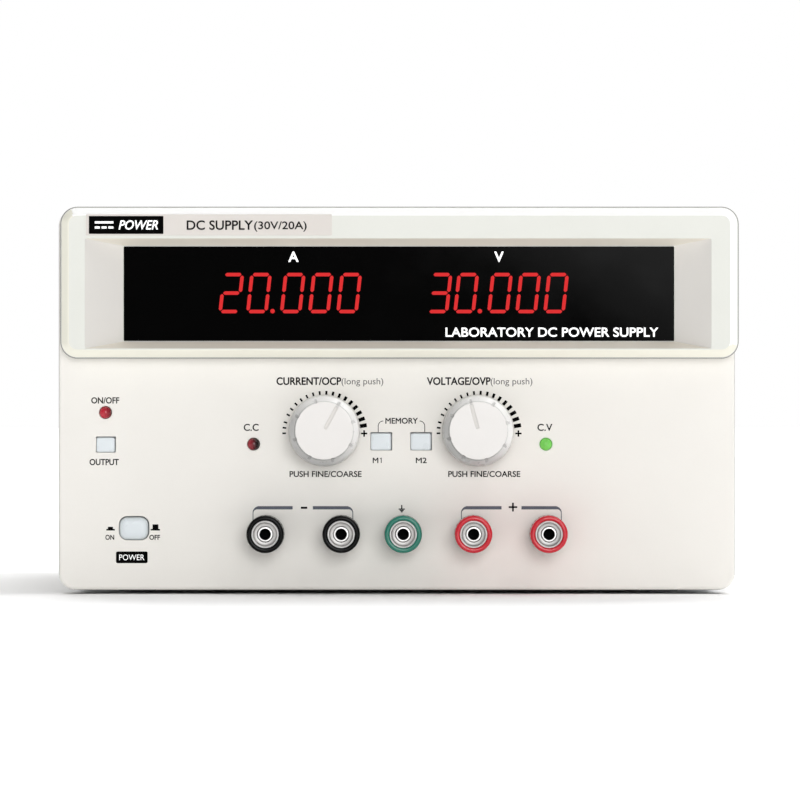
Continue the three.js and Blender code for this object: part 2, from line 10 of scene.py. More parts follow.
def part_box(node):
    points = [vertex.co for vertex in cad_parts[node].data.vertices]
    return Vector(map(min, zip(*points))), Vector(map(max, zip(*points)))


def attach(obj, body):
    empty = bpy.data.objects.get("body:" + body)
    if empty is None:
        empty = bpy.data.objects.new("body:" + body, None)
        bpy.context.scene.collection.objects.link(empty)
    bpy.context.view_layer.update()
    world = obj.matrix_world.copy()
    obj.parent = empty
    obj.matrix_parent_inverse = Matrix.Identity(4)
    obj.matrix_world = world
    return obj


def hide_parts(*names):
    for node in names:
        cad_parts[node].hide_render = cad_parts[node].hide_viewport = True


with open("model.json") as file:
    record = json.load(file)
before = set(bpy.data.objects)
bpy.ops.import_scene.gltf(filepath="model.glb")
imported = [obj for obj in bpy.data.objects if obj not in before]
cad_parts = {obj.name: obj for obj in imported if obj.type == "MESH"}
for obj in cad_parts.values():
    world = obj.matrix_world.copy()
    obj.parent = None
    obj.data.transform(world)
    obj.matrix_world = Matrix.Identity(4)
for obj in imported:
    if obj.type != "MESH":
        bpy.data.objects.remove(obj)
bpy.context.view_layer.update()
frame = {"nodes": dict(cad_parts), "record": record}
RECORD = frame["record"]
SLOT_OF = {s["node"]: s["material_slot"] for s in RECORD["subparts"]}
BODY_OF = {n: body for body, names in RECORD["behaviour"]["bodies"].items() for n in names}

# Shapes are drawn in millimetres: x to the right, z up from 2.5 mm below the bench, and depth measured back
# from the lower panel's face.
MM = 0.001
BENCH = 2.5
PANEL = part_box("front_panel")[0].y / MM


def extent(node):
    """The lowest and highest corner of a CAD node, as (x, depth, z) where shapes are drawn."""
    corners = [(p.x / MM, p.y / MM - PANEL, p.z / MM + BENCH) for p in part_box(node)]
    return [tuple(round(value, 2) for value in corner) for corner in corners]


def middle(node):
    """Where the middle of a CAD node is seen from the front, as (x, z)."""
    low, high = extent(node)
    return round((low[0] + high[0]) / 2, 2), round((low[2] + high[2]) / 2, 2)


# ---------- camera ----------
SENSOR = 36.0
DISTANCE = 2.4
FRAME_WIDTH = 0.3010
AIM_X, AIM_Z = 0.0007, 0.0730
camera = bpy.data.objects.new("camera", bpy.data.cameras.new("camera"))
camera.data.sensor_width = SENSOR
camera.data.lens = SENSOR * DISTANCE / FRAME_WIDTH
camera.data.clip_end = 50
camera.location = (AIM_X, PANEL * MM - DISTANCE, AIM_Z)
camera.rotation_euler = (math.pi / 2, 0, 0)
bpy.context.scene.collection.objects.link(camera)
bpy.context.scene.camera = camera


def add_object(name, data):
    """A new object in the scene."""
    obj = bpy.data.objects.new(name, data)
    bpy.context.scene.collection.objects.link(obj)
    return obj


# ---------- procedural finishes ----------
def feed(tree, socket, value):
    """Links a socket to another node's output, or sets its value."""
    if isinstance(value, bpy.types.NodeSocket):
        tree.links.new(value, socket)
    else:
        socket.default_value = value


def add_node(tree, kind, settings, *values, **inputs):
    """A node with its settings; values feed its inputs in their order, and inputs feed them by name."""
    node = tree.nodes.new(kind)
    for key, value in settings.items():
        setattr(node, key, value)
    for socket, value in zip(node.inputs, values):
        feed(tree, socket, value)
    for key, value in inputs.items():
        feed(tree, node.inputs[key.replace("_", " ")], value)
    return node


class Finish:
    """A node material whose textures are sized in millimetres, in the frame that the part is built in."""

    def __init__(self, name, colour, roughness, metallic=0.0, specular=0.5):
        self.material = bpy.data.materials.new(name)
        self.material.use_nodes = True
        self.material.diffuse_color = (*colour, 1)
        self.tree = self.material.node_tree
        self.surface = self.tree.nodes["Principled BSDF"].inputs
        self.colour, self.roughness = colour, roughness
        values = {"Base Color": (*colour, 1), "Roughness": roughness, "Metallic": metallic,
                  "Specular IOR Level": specular}
        for socket, value in values.items():
            self.surface[socket].default_value = value
        self.coords = self.add("ShaderNodeTexCoord", {}).outputs["Object"]

    def add(self, kind, settings, *values, **inputs):
        return add_node(self.tree, kind, settings, *values, **inputs)

    def math(self, operation, first, second):
        return self.add("ShaderNodeMath", {"operation": operation}, first, second).outputs[0]

    def noise(self, size, detail=2.0, stretch=(1, 1, 1)):
        """Smooth noise with features about size millimetres across."""
        scale = [1 / (MM * size * s) for s in stretch]
        place = self.add("ShaderNodeMapping", {}, Vector=self.coords, Scale=scale).outputs[0]
        noise = self.add("ShaderNodeTexNoise", {}, Vector=place, Scale=1.0, Detail=detail, Roughness=0.55)
        return noise.outputs["Fac"]

    def spread(self, value, low, high):
        """A noise value opened out from its crowded middle to run from low to high."""
        return self.add("ShaderNodeMapRange", {}, value, 0.3, 0.7, low, high).outputs[0]

    def mottle(self, amount, size=30, fine=0.5):
        """Colour that drifts a little over the piece, with a fainter fine speckle."""
        drift, speckle = self.spread(self.noise(size), 0, 0.7), self.spread(self.noise(fine, 1), 0, 0.3)
        share = self.math("ADD", drift, speckle)
        dark = [c * (1 - amount) for c in self.colour]
        light = [min(c * (1 + amount), 1) for c in self.colour]
        mix = self.add("ShaderNodeMix", {"data_type": "RGBA"}, Factor=share, A=(*dark, 1), B=(*light, 1))
        feed(self.tree, self.surface["Base Color"], mix.outputs["Result"])
        return self

    def polish(self, amount, size=6, stretch=(1, 1, 1)):
        """Roughness that varies by amount either way."""
        value = self.spread(self.noise(size, 3, stretch), self.roughness - amount, self.roughness + amount)
        feed(self.tree, self.surface["Roughness"], value)
        return self

    def relief(self, *layers):
        """Bump from layers of (feature size, height, stretch), both sizes in millimetres."""
        total = 0.0
        for size, height, *stretch in layers:
            total = self.math("ADD", total, self.math("MULTIPLY", self.noise(size, 2, *stretch), height))
        bump = self.add("ShaderNodeBump", {}, Strength=1.0, Distance=MM, Height=total)
        feed(self.tree, self.surface["Normal"], bump.outputs[0])
        return self

    def fade(self, x, z, lean, reach, rest):
        """Painted shade: colour that darkens to a share of itself, reach mm either side of (x, z), lean
        degrees from +x.
        """
        toward = Vector((math.cos(math.radians(lean)), 0, math.sin(math.radians(lean))))
        dot = self.add("ShaderNodeVectorMath", {"operation": "DOT_PRODUCT"}, self.coords, toward)
        centre = toward.dot(Vector((x, 0, z - BENCH)))
        share = self.add("ShaderNodeMapRange", {"interpolation_type": "SMOOTHSTEP"}, dot.outputs["Value"],
                         (centre - reach) * MM, (centre + reach) * MM, 1.0, rest).outputs[0]
        grey = self.add("ShaderNodeCombineXYZ", {}, share, share, share).outputs[0]
        whole = self.surface["Base Color"].links[0].from_socket
        settings = {"data_type": "RGBA", "blend_type": "MULTIPLY"}
        mix = self.add("ShaderNodeMix", settings, Factor=1.0, A=whole, B=grey)
        feed(self.tree, self.surface["Base Color"], mix.outputs["Result"])
        return self

    def glow(self, colour, strength):
        self.surface["Emission Color"].default_value = (*colour, 1)
        self.surface["Emission Strength"].default_value = strength
        return self


def srgb(red, green, blue):
    """An 0-255 screen colour as linear light."""
    return tuple(c / 12.92 if c <= 0.04045 else ((c + 0.055) / 1.055) ** 2.4
                 for c in (red / 255, green / 255, blue / 255))


def moulded(name, colour, roughness=0.45, grain=0.012, **options):
    """Injection-moulded plastic with a fine spark-eroded grain."""
    return (Finish(name, colour, roughness, **options)
            .mottle(0.012).polish(0.05).relief((0.35, grain), (9, 0.02)).material)


def plated(name, colour, roughness=0.2):
    """Turned and plated metal."""
    return (Finish(name, colour, roughness, metallic=1.0)
            .mottle(0.03, 3, 0.3).polish(0.04, 2.5).relief((0.5, 0.0008)).material)


# Blender may add a number to a name that the CAD nodes' own materials already have.
FINISHES = {material.name.split(".")[0]: material for material in (
    moulded("ivory_plastic", srgb(240, 237, 231), 0.5),
    moulded("hood_plastic", srgb(225, 226, 219), 0.42),
    Finish("window_black", (0.0006, 0.0006, 0.0006), 0.06, specular=0.03)
        .mottle(0.1, 40).polish(0.02, 20).relief((14, 0.004)).material,
    Finish("label_film", srgb(217, 211, 205), 0.38)
        .mottle(0.01, 12).polish(0.05, 2).relief((0.5, 0.006)).material,
    Finish("case_paint", srgb(196, 193, 185), 0.62, specular=0.25)
        .mottle(0.02, 45).polish(0.08, 4).relief((0.9, 0.05), (0.3, 0.02)).material,
    Finish("tray_steel", (0.55, 0.56, 0.57), 0.38, metallic=1.0)
        .mottle(0.07, 12, 0.8).polish(0.1, 5, (4, 1, 1)).relief((0.4, 0.01, (6, 1, 1))).material,
    Finish("foot_rubber", (0.018, 0.018, 0.019), 0.8)
        .mottle(0.25, 6).polish(0.08, 2).relief((0.5, 0.04)).material,
    moulded("display_black", (0.012, 0.012, 0.013), 0.4),
    Finish("board_green", (0.02, 0.14, 0.06), 0.35)
        .mottle(0.3, 5, 1.2).polish(0.1, 2).relief((1.5, 0.03)).material,
    moulded("knob_plastic", srgb(234, 231, 228), 0.36, 0.006),
    plated("turned_steel", (0.5, 0.5, 0.5), 0.3),
    moulded("key_plastic", srgb(224, 231, 235), 0.3, 0.004),
    moulded("black_plastic", (0.016, 0.016, 0.017), 0.45, 0.02),
    # Painted shade: the lamp_red lens darkens towards its right side to a quarter, the lamp_dark_red lens
    # nearly to black.
    Finish("lamp_red", srgb(190, 34, 54), 0.2)
        .mottle(0.1, 2.2).fade(-109.3, 0, 0, 2.2, 0.25).polish(0.04, 2).relief((0.8, 0.004)).material,
    Finish("lamp_dark_red", srgb(158, 38, 52), 0.22)
        .mottle(0.1, 2.2).fade(-54.7, 0, 0, 1.8, 0.015).polish(0.04, 2).relief((0.8, 0.004)).material,
    Finish("lamp_green", srgb(108, 190, 82), 0.25)
        .mottle(0.15, 2.2).polish(0.04, 2).relief((0.8, 0.006)).glow(srgb(120, 215, 85), 0.2).material,
    plated("post_nickel", (0.72, 0.71, 0.69), 0.22),
    moulded("cap_black", (0.002, 0.002, 0.002), 0.2, 0.003, specular=0.12),
    moulded("cap_green", srgb(28, 116, 98), 0.2, 0.003),
    moulded("cap_red", srgb(200, 26, 44), 0.16, 0.003),
    plated("bright_wire", (0.6, 0.6, 0.6), 0.25),
    moulded("selector_red", srgb(190, 30, 25), 0.35),
    Finish("core_iron", (0.05, 0.045, 0.04), 0.5, metallic=0.5)
        .mottle(0.4, 4).polish(0.1, 2).relief((0.5, 0.08, (1, 8, 8))).material,
    Finish("heat_sink_aluminium", (0.5, 0.5, 0.51), 0.4, metallic=1.0)
        .mottle(0.1, 5).polish(0.1, 3, (1, 8, 1)).relief((0.5, 0.02, (1, 10, 1))).material,
    Finish("capacitor_sleeve", (0.01, 0.02, 0.06), 0.3)
        .mottle(0.2, 8).polish(0.06, 3).relief((3, 0.03)).material,
)}


def printed(name, colour, drift, fine=0.2, roughness=0.5, specular=0.2):
    """Screen-printed ink."""
    return (Finish(name, colour, roughness, specular=specular)
            .mottle(drift, 3, fine).polish(0.08, 1).relief((0.2, 0.003)).material)


INK = printed("printed_ink", srgb(28, 26, 26), 0.25)
INK_GREY = printed("printed_grey", srgb(95, 93, 93), 0.2)
INK_BLACK = printed("printed_black", (0.001, 0.001, 0.001), 0.3, 0.5, 0.6, 0.02)
INK_SLATE = printed("printed_slate", srgb(72, 78, 92), 0.12, specular=0.5)
# White print with a painted glow: it emits light though it is no lamp.
WHITE_INK_PAINTED_GLOW = (Finish("printed_white_painted_glow", srgb(246, 246, 246), 0.5)
             .mottle(0.03, 3, 0.2).polish(0.05, 1).relief((0.2, 0.003)).glow((1, 1, 1), 0.3).material)
SEGMENT = (Finish("lit_segment", srgb(110, 8, 10), 0.4, specular=0.1)
           .mottle(0.12, 4, 0.6).polish(0.05, 1).relief((0.3, 0.003)).glow(srgb(232, 40, 42), 0.72).material)
SHADOW_METAL = (Finish("socket_bore", (0.004, 0.004, 0.004), 0.6, metallic=0.3)
                .mottle(0.3, 1).polish(0.1, 1).relief((0.3, 0.01)).material)
# Copies of the hood plastic for its bevels: a yellower, duller one for painted shade at the left and bottom,
# a near-white one for painted highlight at the top and right.
BEVEL_PAINTED_SHADE = moulded("lower_bevel_painted_shade", srgb(237, 235, 221), 0.45)
BEVEL_PAINTED_HIGHLIGHT = moulded("upper_bevel_painted_highlight", srgb(255, 255, 253), 0.4)
# A grey copy of the ivory plastic: painted shade along the panel's outline.
PANEL_EDGE_SHADE = moulded("panel_edge_painted_shade", srgb(206, 204, 200), 0.45)
# Grey plastic for the small step round the hood's outline: a painted shadow line.
SEAM_SHADOW = moulded("seam_shadow", srgb(150, 149, 146), 0.6)
# Copies of the post plating: a near-white one for painted highlight on the rims, a darker, rougher one for
# painted shade in the dish of each post.
RIM_PAINTED_HIGHLIGHT = plated("rim_painted_highlight", (0.93, 0.92, 0.91), 0.42)
DISH_PAINTED_SHADE = plated("dish_painted_shade", (0.62, 0.61, 0.6), 0.48)
POINTER_GROOVE = moulded("pointer_groove", srgb(224, 221, 217), 0.45)
# Copies of the hood plastic for the display recess: a lighter, warmer one as painted light on its top and
# bottom slopes, a darker one as painted shade on its sides.
RECESS_LEVEL_PAINTED_LIGHT = moulded("recess_level_painted_light", srgb(238, 232, 219), 0.5)
RECESS_UPRIGHT_PAINTED_SHADE = moulded("recess_upright_painted_shade", srgb(220, 217, 212), 0.5)
BRASS = plated("pin_brass", (0.62, 0.5, 0.3), 0.25)


# ---------- shapes ----------
INK_THICK = 0.03


def sweep(count, start=0.0, end=math.pi / 2):
    """Angles from start to end in count equal steps, both ends included."""
    return [start + (end - start) * i / count for i in range(count + 1)]


def around(count):
    """Angles all the way round, in count equal steps."""
    return sweep(count, 0.0, 2 * math.pi)[:-1]


def rect(width, height, radius, x=0.0, z=0.0, steps=8, angle=0.0):
    """A rounded rectangle as a function: how far it is grown -> its points, anticlockwise."""
    def points(grow=0.0):
        w, h, r = width / 2 + grow, height / 2 + grow, max(radius + grow, 0.02)
        found = [(sx * (w - r) + r * math.cos(a), sz * (h - r) + r * math.sin(a))
                 for corner, (sx, sz) in enumerate(((1, -1), (1, 1), (-1, 1), (-1, -1)))
                 for a in sweep(steps, math.pi / 2 * (corner - 1), math.pi / 2 * corner)]
        c, s = math.cos(angle), math.sin(angle)
        return [(x + u * c - v * s, z + u * s + v * c) for u, v in found]
    return points


def circle(radius, x=0.0, z=0.0, count=64):
    def points(grow=0.0):
        return [(x + (radius + grow) * math.cos(a), z + (radius + grow) * math.sin(a)) for a in around(count)]
    return points


def polygon(corners):
    """A fixed outline, grown about its middle by moving each corner along its own diagonal."""
    def points(grow=0.0):
        found = []
        for i, (x, z) in enumerate(corners):
            before, after = Vector(corners[i - 1]), Vector(corners[(i + 1) % len(corners)])
            here = Vector((x, z))
            into, out = (here - before).normalized(), (after - here).normalized()
            normal = Vector((into.y + out.y, -into.x - out.x))
            share = max(1 + into.dot(out), 0.2)
            found.append(tuple(here + normal * grow / share))
        return found
    return points


def fillet(sign, radius, depth, turn=1, steps=4):
    """(growth, depth) pairs from a face round an edge to the wall; sign is -1 outside and 1 in a hole."""
    return [(sign * radius * (1 - math.sin(a)), depth + turn * radius * (1 - math.cos(a)))
            for a in sweep(steps)]


class Shape:
    """A mesh under construction. place maps (u, v, w) to (x, depth, z): by default u right, v up, w back."""

    def __init__(self, place=lambda u, v, w: (u, w, v)):
        self.bm = bmesh.new()
        self.place = place
        self.index = 0

    def ring(self, points, w):
        return [self.bm.verts.new(self.place(u, v, w)) for u, v in points]

    def face(self, verts):
        self.bm.faces.new(verts).material_index = self.index

    def bridge(self, a, b):
        for i in range(len(a)):
            j = (i + 1) % len(a)
            self.face((a[i], a[j], b[j], b[i]))

    def cap(self, outer, *holes):
        """Fills the space between a closed line of points and the holes in it."""
        if not holes and len(outer) <= 4:
            self.face(outer)
            return
        flat = [v for loop in (outer, *holes) for v in loop]
        for triangle in tessellate_polygon([[v.co for v in loop] for loop in (outer, *holes)]):
            if len(set(triangle)) == 3:
                self.face([flat[i] for i in triangle])

    def loft(self, outline, steps):
        """Walls through (growth, depth) pairs of one outline; returns the first and last ring."""
        rings = [self.ring(outline(grow), w) for grow, w in steps]
        for a, b in zip(rings, rings[1:]):
            self.bridge(a, b)
        return rings[0], rings[-1]

    def slab(self, outline, front, back, edge=0.3, rear_edge=0.1, steps=4):
        """A plate with rounded edges."""
        first, last = self.loft(outline, fillet(-1, edge, front, 1, steps)
                                + fillet(-1, rear_edge, back, -1, 2)[::-1])
        self.cap(first)
        self.cap(last)

    def pocket(self, outline, front, floor, edge=0.2, taper=0.0):
        """The walls and floor of a blind hole; returns its mouth, to be left open in a face."""
        mouth, bottom = self.loft(outline, fillet(1, edge, front) + [(-taper, floor)])
        self.cap(bottom)
        return mouth

    def pierce(self, holes, depth, steps=4):
        """Through holes from (outline, edge radius) pairs; returns their mouths and their far ends."""
        return zip(*[self.loft(outline, fillet(1, edge, 0, 1, steps) + [(0, depth)])
                     for outline, edge in holes])

    def prism(self, points, front, back):
        first, last = self.ring(points, front), self.ring(points, back)
        self.bridge(first, last)
        self.face(first)
        self.face(last)

    def sheet(self, *lines):
        """Faces between two open lines of (x, depth, z) points."""
        near, far = ([self.bm.verts.new(point) for point in line] for line in lines)
        for i in range(len(near) - 1):
            self.face((near[i], near[i + 1], far[i + 1], far[i]))

    def turn(self, profile, x=0.0, z=0.0, count=64, ripple=lambda angle, depth: 0.0):
        """A solid turned about w from (radius, w) pairs; ripple adds to the radius."""
        rings = []
        for radius, depth in profile:
            if radius < 1e-6:
                rings.append(self.ring([(x, z)], depth))
                continue
            reach = [(a, radius + ripple(a, depth)) for a in around(count)]
            rings.append(self.ring([(x + r * math.cos(a), z + r * math.sin(a)) for a, r in reach], depth))
        for a, b in zip(rings, rings[1:]):
            if len(a) == len(b):
                if len(a) > 1:
                    self.bridge(a, b)
                continue
            tip, ring = (a[0], b) if len(a) == 1 else (b[0], a)
            for i in range(count):
                self.face((tip, ring[i], ring[(i + 1) % count]))
        return rings

    def box(self, u0, u1, v0, v1, w0, w1, edge=0.3):
        """A block with rounded edges, from its limits in u, v and w."""
        self.slab(rect(u1 - u0, v1 - v0, edge, (u0 + u1) / 2, (v0 + v1) / 2, 2), w0, w1, edge, edge, 2)

    def tube(self, path, radius, closed=False, count=10):
        """A round bar along a path of (x, depth, z) points."""
        points = [Vector(p) for p in path]
        rings = []
        for i, here in enumerate(points):
            before = points[i - 1] if closed or i else here
            after = points[(i + 1) % len(points)] if closed or i + 1 < len(points) else here
            along = (after - before).normalized()
            side = along.cross(Vector((0, 1, 0)) if abs(along.y) < 0.9 else Vector((1, 0, 0))).normalized()
            up = side.cross(along)
            rings.append([self.bm.verts.new(here + radius * (math.cos(a) * side + math.sin(a) * up))
                          for a in around(count)])
        for a, b in zip(rings, rings[1:] + rings[:1] if closed else rings[1:]):
            self.bridge(a, b)
        if not closed:
            self.cap(rings[0])
            self.cap(rings[-1])

    def add_mesh(self, mesh, move):
        """Takes in a copy of a mesh; move maps each of its points to (x, depth, z)."""
        made = [self.bm.verts.new(move(v.co)) for v in mesh.vertices]
        for p in mesh.polygons:
            self.face([made[i] for i in p.vertices])

    def ribbon(self, points, *widths):
        """A printed line on the panel's face through (x, z) points, with one width or a width at each."""
        widths = widths if len(widths) > 1 else widths * len(points)
        left, right = [], []
        for i, (x, z) in enumerate(points):
            before, after = points[max(i - 1, 0)], points[min(i + 1, len(points) - 1)]
            along = Vector((after[0] - before[0], after[1] - before[1])).normalized()
            half = widths[i] / 2
            left.append((x - along.y * half, z + along.x * half))
            right.append((x + along.y * half, z - along.x * half))
        outline = left + right[::-1]
        front, back = self.ring(outline, -INK_THICK), self.ring(outline, 0)
        self.bridge(front, back)
        count = len(points)
        for ring in (front, back):
            for i in range(count - 1):
                self.face((ring[i], ring[i + 1], ring[2 * count - 2 - i], ring[2 * count - 1 - i]))


def write(shape, words, height, x, z, depth, width=None, weight=0.0, slant=0.0):
    """Adds lettering in the plain built-in face, centred on x; height is that of a capital and z its foot."""
    font = bpy.data.curves.new("lettering", "FONT")
    holder = add_object("lettering", font)
    font.resolution_u = 5
    font.shear = slant

    def measured(text):
        font.body = text
        bpy.context.view_layer.update()
        evaluated = holder.evaluated_get(bpy.context.evaluated_depsgraph_get())
        return bpy.data.meshes.new_from_object(evaluated)

    capital = measured("H")
    scale = height / max(v.co.y for v in capital.vertices)
    font.extrude = INK_THICK / 2 / scale
    mesh = measured(words)
    low, high = min(v.co.x for v in mesh.vertices), max(v.co.x for v in mesh.vertices)
    across = width / (high - low) if width else scale
    centre = (low + high) / 2
    for a in around(8) if weight else (0.0,):
        dx, dz = weight * math.cos(a), weight * math.sin(a)
        shape.add_mesh(mesh, lambda p: (x + dx + (p.x - centre) * across, depth - INK_THICK / 2 - p.z * scale,
                                        z + dz + p.y * scale))
    bpy.data.objects.remove(holder)


def piece(name, shape, materials, node=None, body=None, crease=32):
    """Finishes a shape as an object that stands for a CAD node and rides on its body, or just on a body."""
    bm = shape.bm
    bmesh.ops.remove_doubles(bm, verts=bm.verts, dist=1e-5)
    bmesh.ops.dissolve_degenerate(bm, edges=bm.edges, dist=1e-6)
    bmesh.ops.recalc_face_normals(bm, faces=bm.faces)
    for v in bm.verts:
        v.co = (v.co.x * MM, (v.co.y + PANEL) * MM, (v.co.z - BENCH) * MM)
    mesh = bpy.data.meshes.new(name)
    bm.to_mesh(mesh)
    bm.free()
    for material in materials if isinstance(materials, list) else [materials]:
        mesh.materials.append(material)
    mesh.polygons.foreach_set("use_smooth", [True] * len(mesh.polygons))
    mesh.set_sharp_from_angle(angle=math.radians(crease))
    obj = add_object(name, mesh)
    weighted = obj.modifiers.new("weighted_normals", "WEIGHTED_NORMAL")
    weighted.keep_sharp = True
    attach(obj, body or BODY_OF[node])
    if node:
        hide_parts(node)


# ---------- front panel ----------
POINTERS = {"current": 61.6, "voltage": 105.4}
KNOBS = {name: (*middle(f"{name}_knob"), angle) for name, angle in POINTERS.items()}
KEY_SIZES = {"output": (7.0, 5.6), "memory_1": (7.7, 6.4), "memory_2": (7.7, 6.4)}
KEYS = {name: (*middle(f"{name}_button"), *size) for name, size in KEY_SIZES.items()}
POWER = (*middle("power_button"), 11.0, 8.6, 3.0)
LAMPS = {name: middle(name) for name in ("output_led", "cc_led", "cv_led")}
POST_Z = middle("ground_cap")[1]
POST_NAMES = ("negative_1", "negative_2", "ground", "positive_1", "positive_2")
POSTS = {name: middle(f"{name}_cap")[0] for name in POST_NAMES}
CORNER, FRONT_EDGE, WALL, PANEL_DEPTH = 6.5, 1.2, 3.0, 20.0
# The gap round a key is wider at its top and right.
KEY_GAP, KEY_SHIFT = 0.45, 0.16
WINDOW = rect(206.8, 35.5, 0.25, 0.3, 115.45, 3)


def outline_of(node, corner, steps=8):
    """A CAD node's outline seen from the front, as a rounded rectangle."""
    low, high = extent(node)
    return rect(high[0] - low[0], high[2] - low[2], corner, *middle(node), steps)


def front_panel():
    shape = Shape()
    outline = outline_of("front_panel", CORNER, 12)
    holes = [(WINDOW, 0.1)]
    holes += [(circle(4.8, x, z, 40), 0.3) for x, z, _ in KNOBS.values()]
    holes += [(circle(2.4, x, z, 32), 0.25) for x, z in LAMPS.values()]
    holes += [(rect(w + KEY_GAP, h + KEY_GAP, 0.3, x + KEY_SHIFT, z + KEY_SHIFT, 4), 0.12)
              for x, z, w, h in KEYS.values()]
    x, z, w, h, r = POWER
    holes.append((rect(w + 0.5, h + 0.5, r + 0.25, x + 0.14, z + 0.17), 0.15))
    holes += [(circle(6.85, x, POST_Z, 56), 0.3) for x in POSTS.values()]
    mouths, ends = shape.pierce(holes, WALL)
    side = [(0, PANEL_DEPTH - 0.3), (-0.3, PANEL_DEPTH), (-WALL, PANEL_DEPTH), (-WALL, WALL)]
    rim, inner = shape.loft(outline, fillet(-1, FRONT_EDGE, 0) + side)
    shape.cap(rim, *mouths)
    shape.cap(inner, *ends)
    # Faces within 0.35 mm of the panel's left, right and bottom edges take the grey copy, as a painted shade
    # line.
    low, high = extent("front_panel")
    for face in shape.bm.faces:
        at = face.calc_center_median()
        if min(at.x - low[0], high[0] - at.x, at.z - low[2]) < 0.35:
            face.material_index = 1
    piece("front_panel_moulding", shape, [FINISHES["ivory_plastic"], PANEL_EDGE_SHADE], "front_panel")


HOOD_FACE = -11.0
HOOD_BEVEL = [(-0.4, -8.3), (-0.46, -8.6), (-0.62, -8.95), (-2.5, -10.6), (-2.85, -10.82), (-3.1, -10.94),
              (-3.4, HOOD_FACE)]
HOOD_FINISHES = [FINISHES["hood_plastic"], RECESS_LEVEL_PAINTED_LIGHT, RECESS_UPRIGHT_PAINTED_SHADE, SEAM_SHADOW, BEVEL_PAINTED_SHADE, BEVEL_PAINTED_HIGHLIGHT]


def recess_sides(outline):
    """For each step round a rounded rectangle, whether it lies along the top or the bottom."""
    points = outline()
    return [abs(a[0] - b[0]) > abs(a[1] - b[1]) for a, b in zip(points, points[1:] + points[:1])]


def display_hood():
    shape = Shape()
    outline = outline_of("display_hood", CORNER, 12)
    back, lip = shape.loft(outline, [(-0.3, -0.2), (0, -0.5), (0, -7.3)])
    # The step round the hood's outline, behind its bevel, takes the grey painted-shadow plastic.
    shape.index = HOOD_FINISHES.index(SEAM_SHADOW)
    groove, bevel = shape.loft(outline, [(-0.1, -7.4), (-0.28, -7.45), (-0.4, -7.6)])
    shape.bridge(lip, groove)
    shape.index = 0
    start, rim = shape.loft(outline, HOOD_BEVEL)
    shape.bridge(bevel, start)
    # Bevels at the left and bottom take the painted-shade copy, those at the top and right the
    # painted-highlight copy.
    for face in shape.bm.faces:
        at = face.calc_center_median()
        if HOOD_FACE < at.y < -8.9:
            low_or_left = at.x < -122 or at.z < 96
            face.material_index = HOOD_FINISHES.index(BEVEL_PAINTED_SHADE if low_or_left else BEVEL_PAINTED_HIGHLIGHT)
    recess = rect(234.6, 41.2, 0.4, 0, 115.4, 3)
    mouth, throat = shape.loft(recess, fillet(1, 0.1, HOOD_FACE, 1, 3))
    edge, lip_back = shape.loft(WINDOW, [(0.3, -3.8), (0.12, -3.72), (0, -3.5), (0, -2.62)])
    # The recess's top and bottom slopes take the painted-light copy, its sides the painted-shade copy.
    for i, level in enumerate(recess_sides(recess)):
        shape.index = HOOD_FINISHES.index(RECESS_LEVEL_PAINTED_LIGHT if level else RECESS_UPRIGHT_PAINTED_SHADE)
        j = (i + 1) % len(throat)
        shape.face((throat[i], throat[j], edge[j], edge[i]))
    shape.index = 0
    pocket, pocket_back = shape.loft(WINDOW, [(3, -2.62), (3, -0.2)])
    shape.bridge(lip_back, pocket)
    shape.cap(rim, mouth)
    shape.cap(back, pocket_back)
    piece("display_hood_moulding", shape, HOOD_FINISHES, "display_hood")


WINDOW_FACE = -2.4


def display_window():
    shape = Shape()
    shape.slab(rect(211.6, 40.7, 0.6, 0, 115.45), WINDOW_FACE, -0.4, 0.15)
    piece("display_window_filter", shape, FINISHES["window_black"], "display_window")


# ---------- the figures on the display ----------
DIGIT_FOOT, DIGIT_HEIGHT, DIGIT_WIDTH, BAR = 108.1, 15.2, 8.1, 1.32
BAR_GAP, LIT_THICK = 0.28, 0.06
BAR_TIP = ((0.0, 0.12), (0.35, 0.3), (0.8, 0.72), (1.0, 1.05))
SLANT = math.tan(math.radians(6.3))
LIT = {"0": "abcdef", "2": "abged", "3": "abgcd"}
READINGS = {"current": ("20.000", (-67.6, -57.2, -47.2, -44.5, -33.9, -23.3)),
            "voltage": ("30.000", (10.7, 20.7, 30.7, 33.4, 44.0, 54.5))}


def bar(x0, z0, x1, z1):
    """The outline of one display bar between two joints, pointed at both ends with soft corners."""
    along = Vector((x1 - x0, z1 - z0)).normalized()
    start, end = Vector((x0, z0)) + along * BAR_GAP, Vector((x1, z1)) - along * BAR_GAP
    forward = along * BAR / 2
    across = Vector((-forward.y, forward.x))

    def edge(side, tip):
        near = [start + forward * share + across * side * out for out, share in tip]
        far = [end - forward * share + across * side * out for out, share in tip]
        return near + far[::-1]

    return edge(1, BAR_TIP) + edge(-1, BAR_TIP[1:])[::-1]


def digit(shape, figure, left):
    near, far = BAR / 2, DIGIT_WIDTH - BAR / 2
    low, half, top = BAR / 2, DIGIT_HEIGHT / 2, DIGIT_HEIGHT - BAR / 2
    bars = {"a": (near, top, far, top), "b": (far, half, far, top), "c": (far, low, far, half),
            "d": (near, low, far, low), "e": (near, low, near, half), "f": (near, half, near, top),
            "g": (near, half, far, half)}
    for name in LIT[figure]:
        outline = [(left + p.x + p.y * SLANT, DIGIT_FOOT + p.y) for p in bar(*bars[name])]
        shape.prism(outline, WINDOW_FACE - LIT_THICK, WINDOW_FACE)


def readings():
    for name, (figures, lefts) in READINGS.items():
        shape = Shape()
        for figure, left in zip(figures, lefts):
            if figure == ".":
                point = circle(0.85, left, DIGIT_FOOT + 0.8, 24)
                shape.slab(point, WINDOW_FACE - LIT_THICK, WINDOW_FACE, 0.02, 0.01, 2)
            else:
                digit(shape, figure, left)
        piece(f"{name}_reading", shape, SEGMENT, body="case")


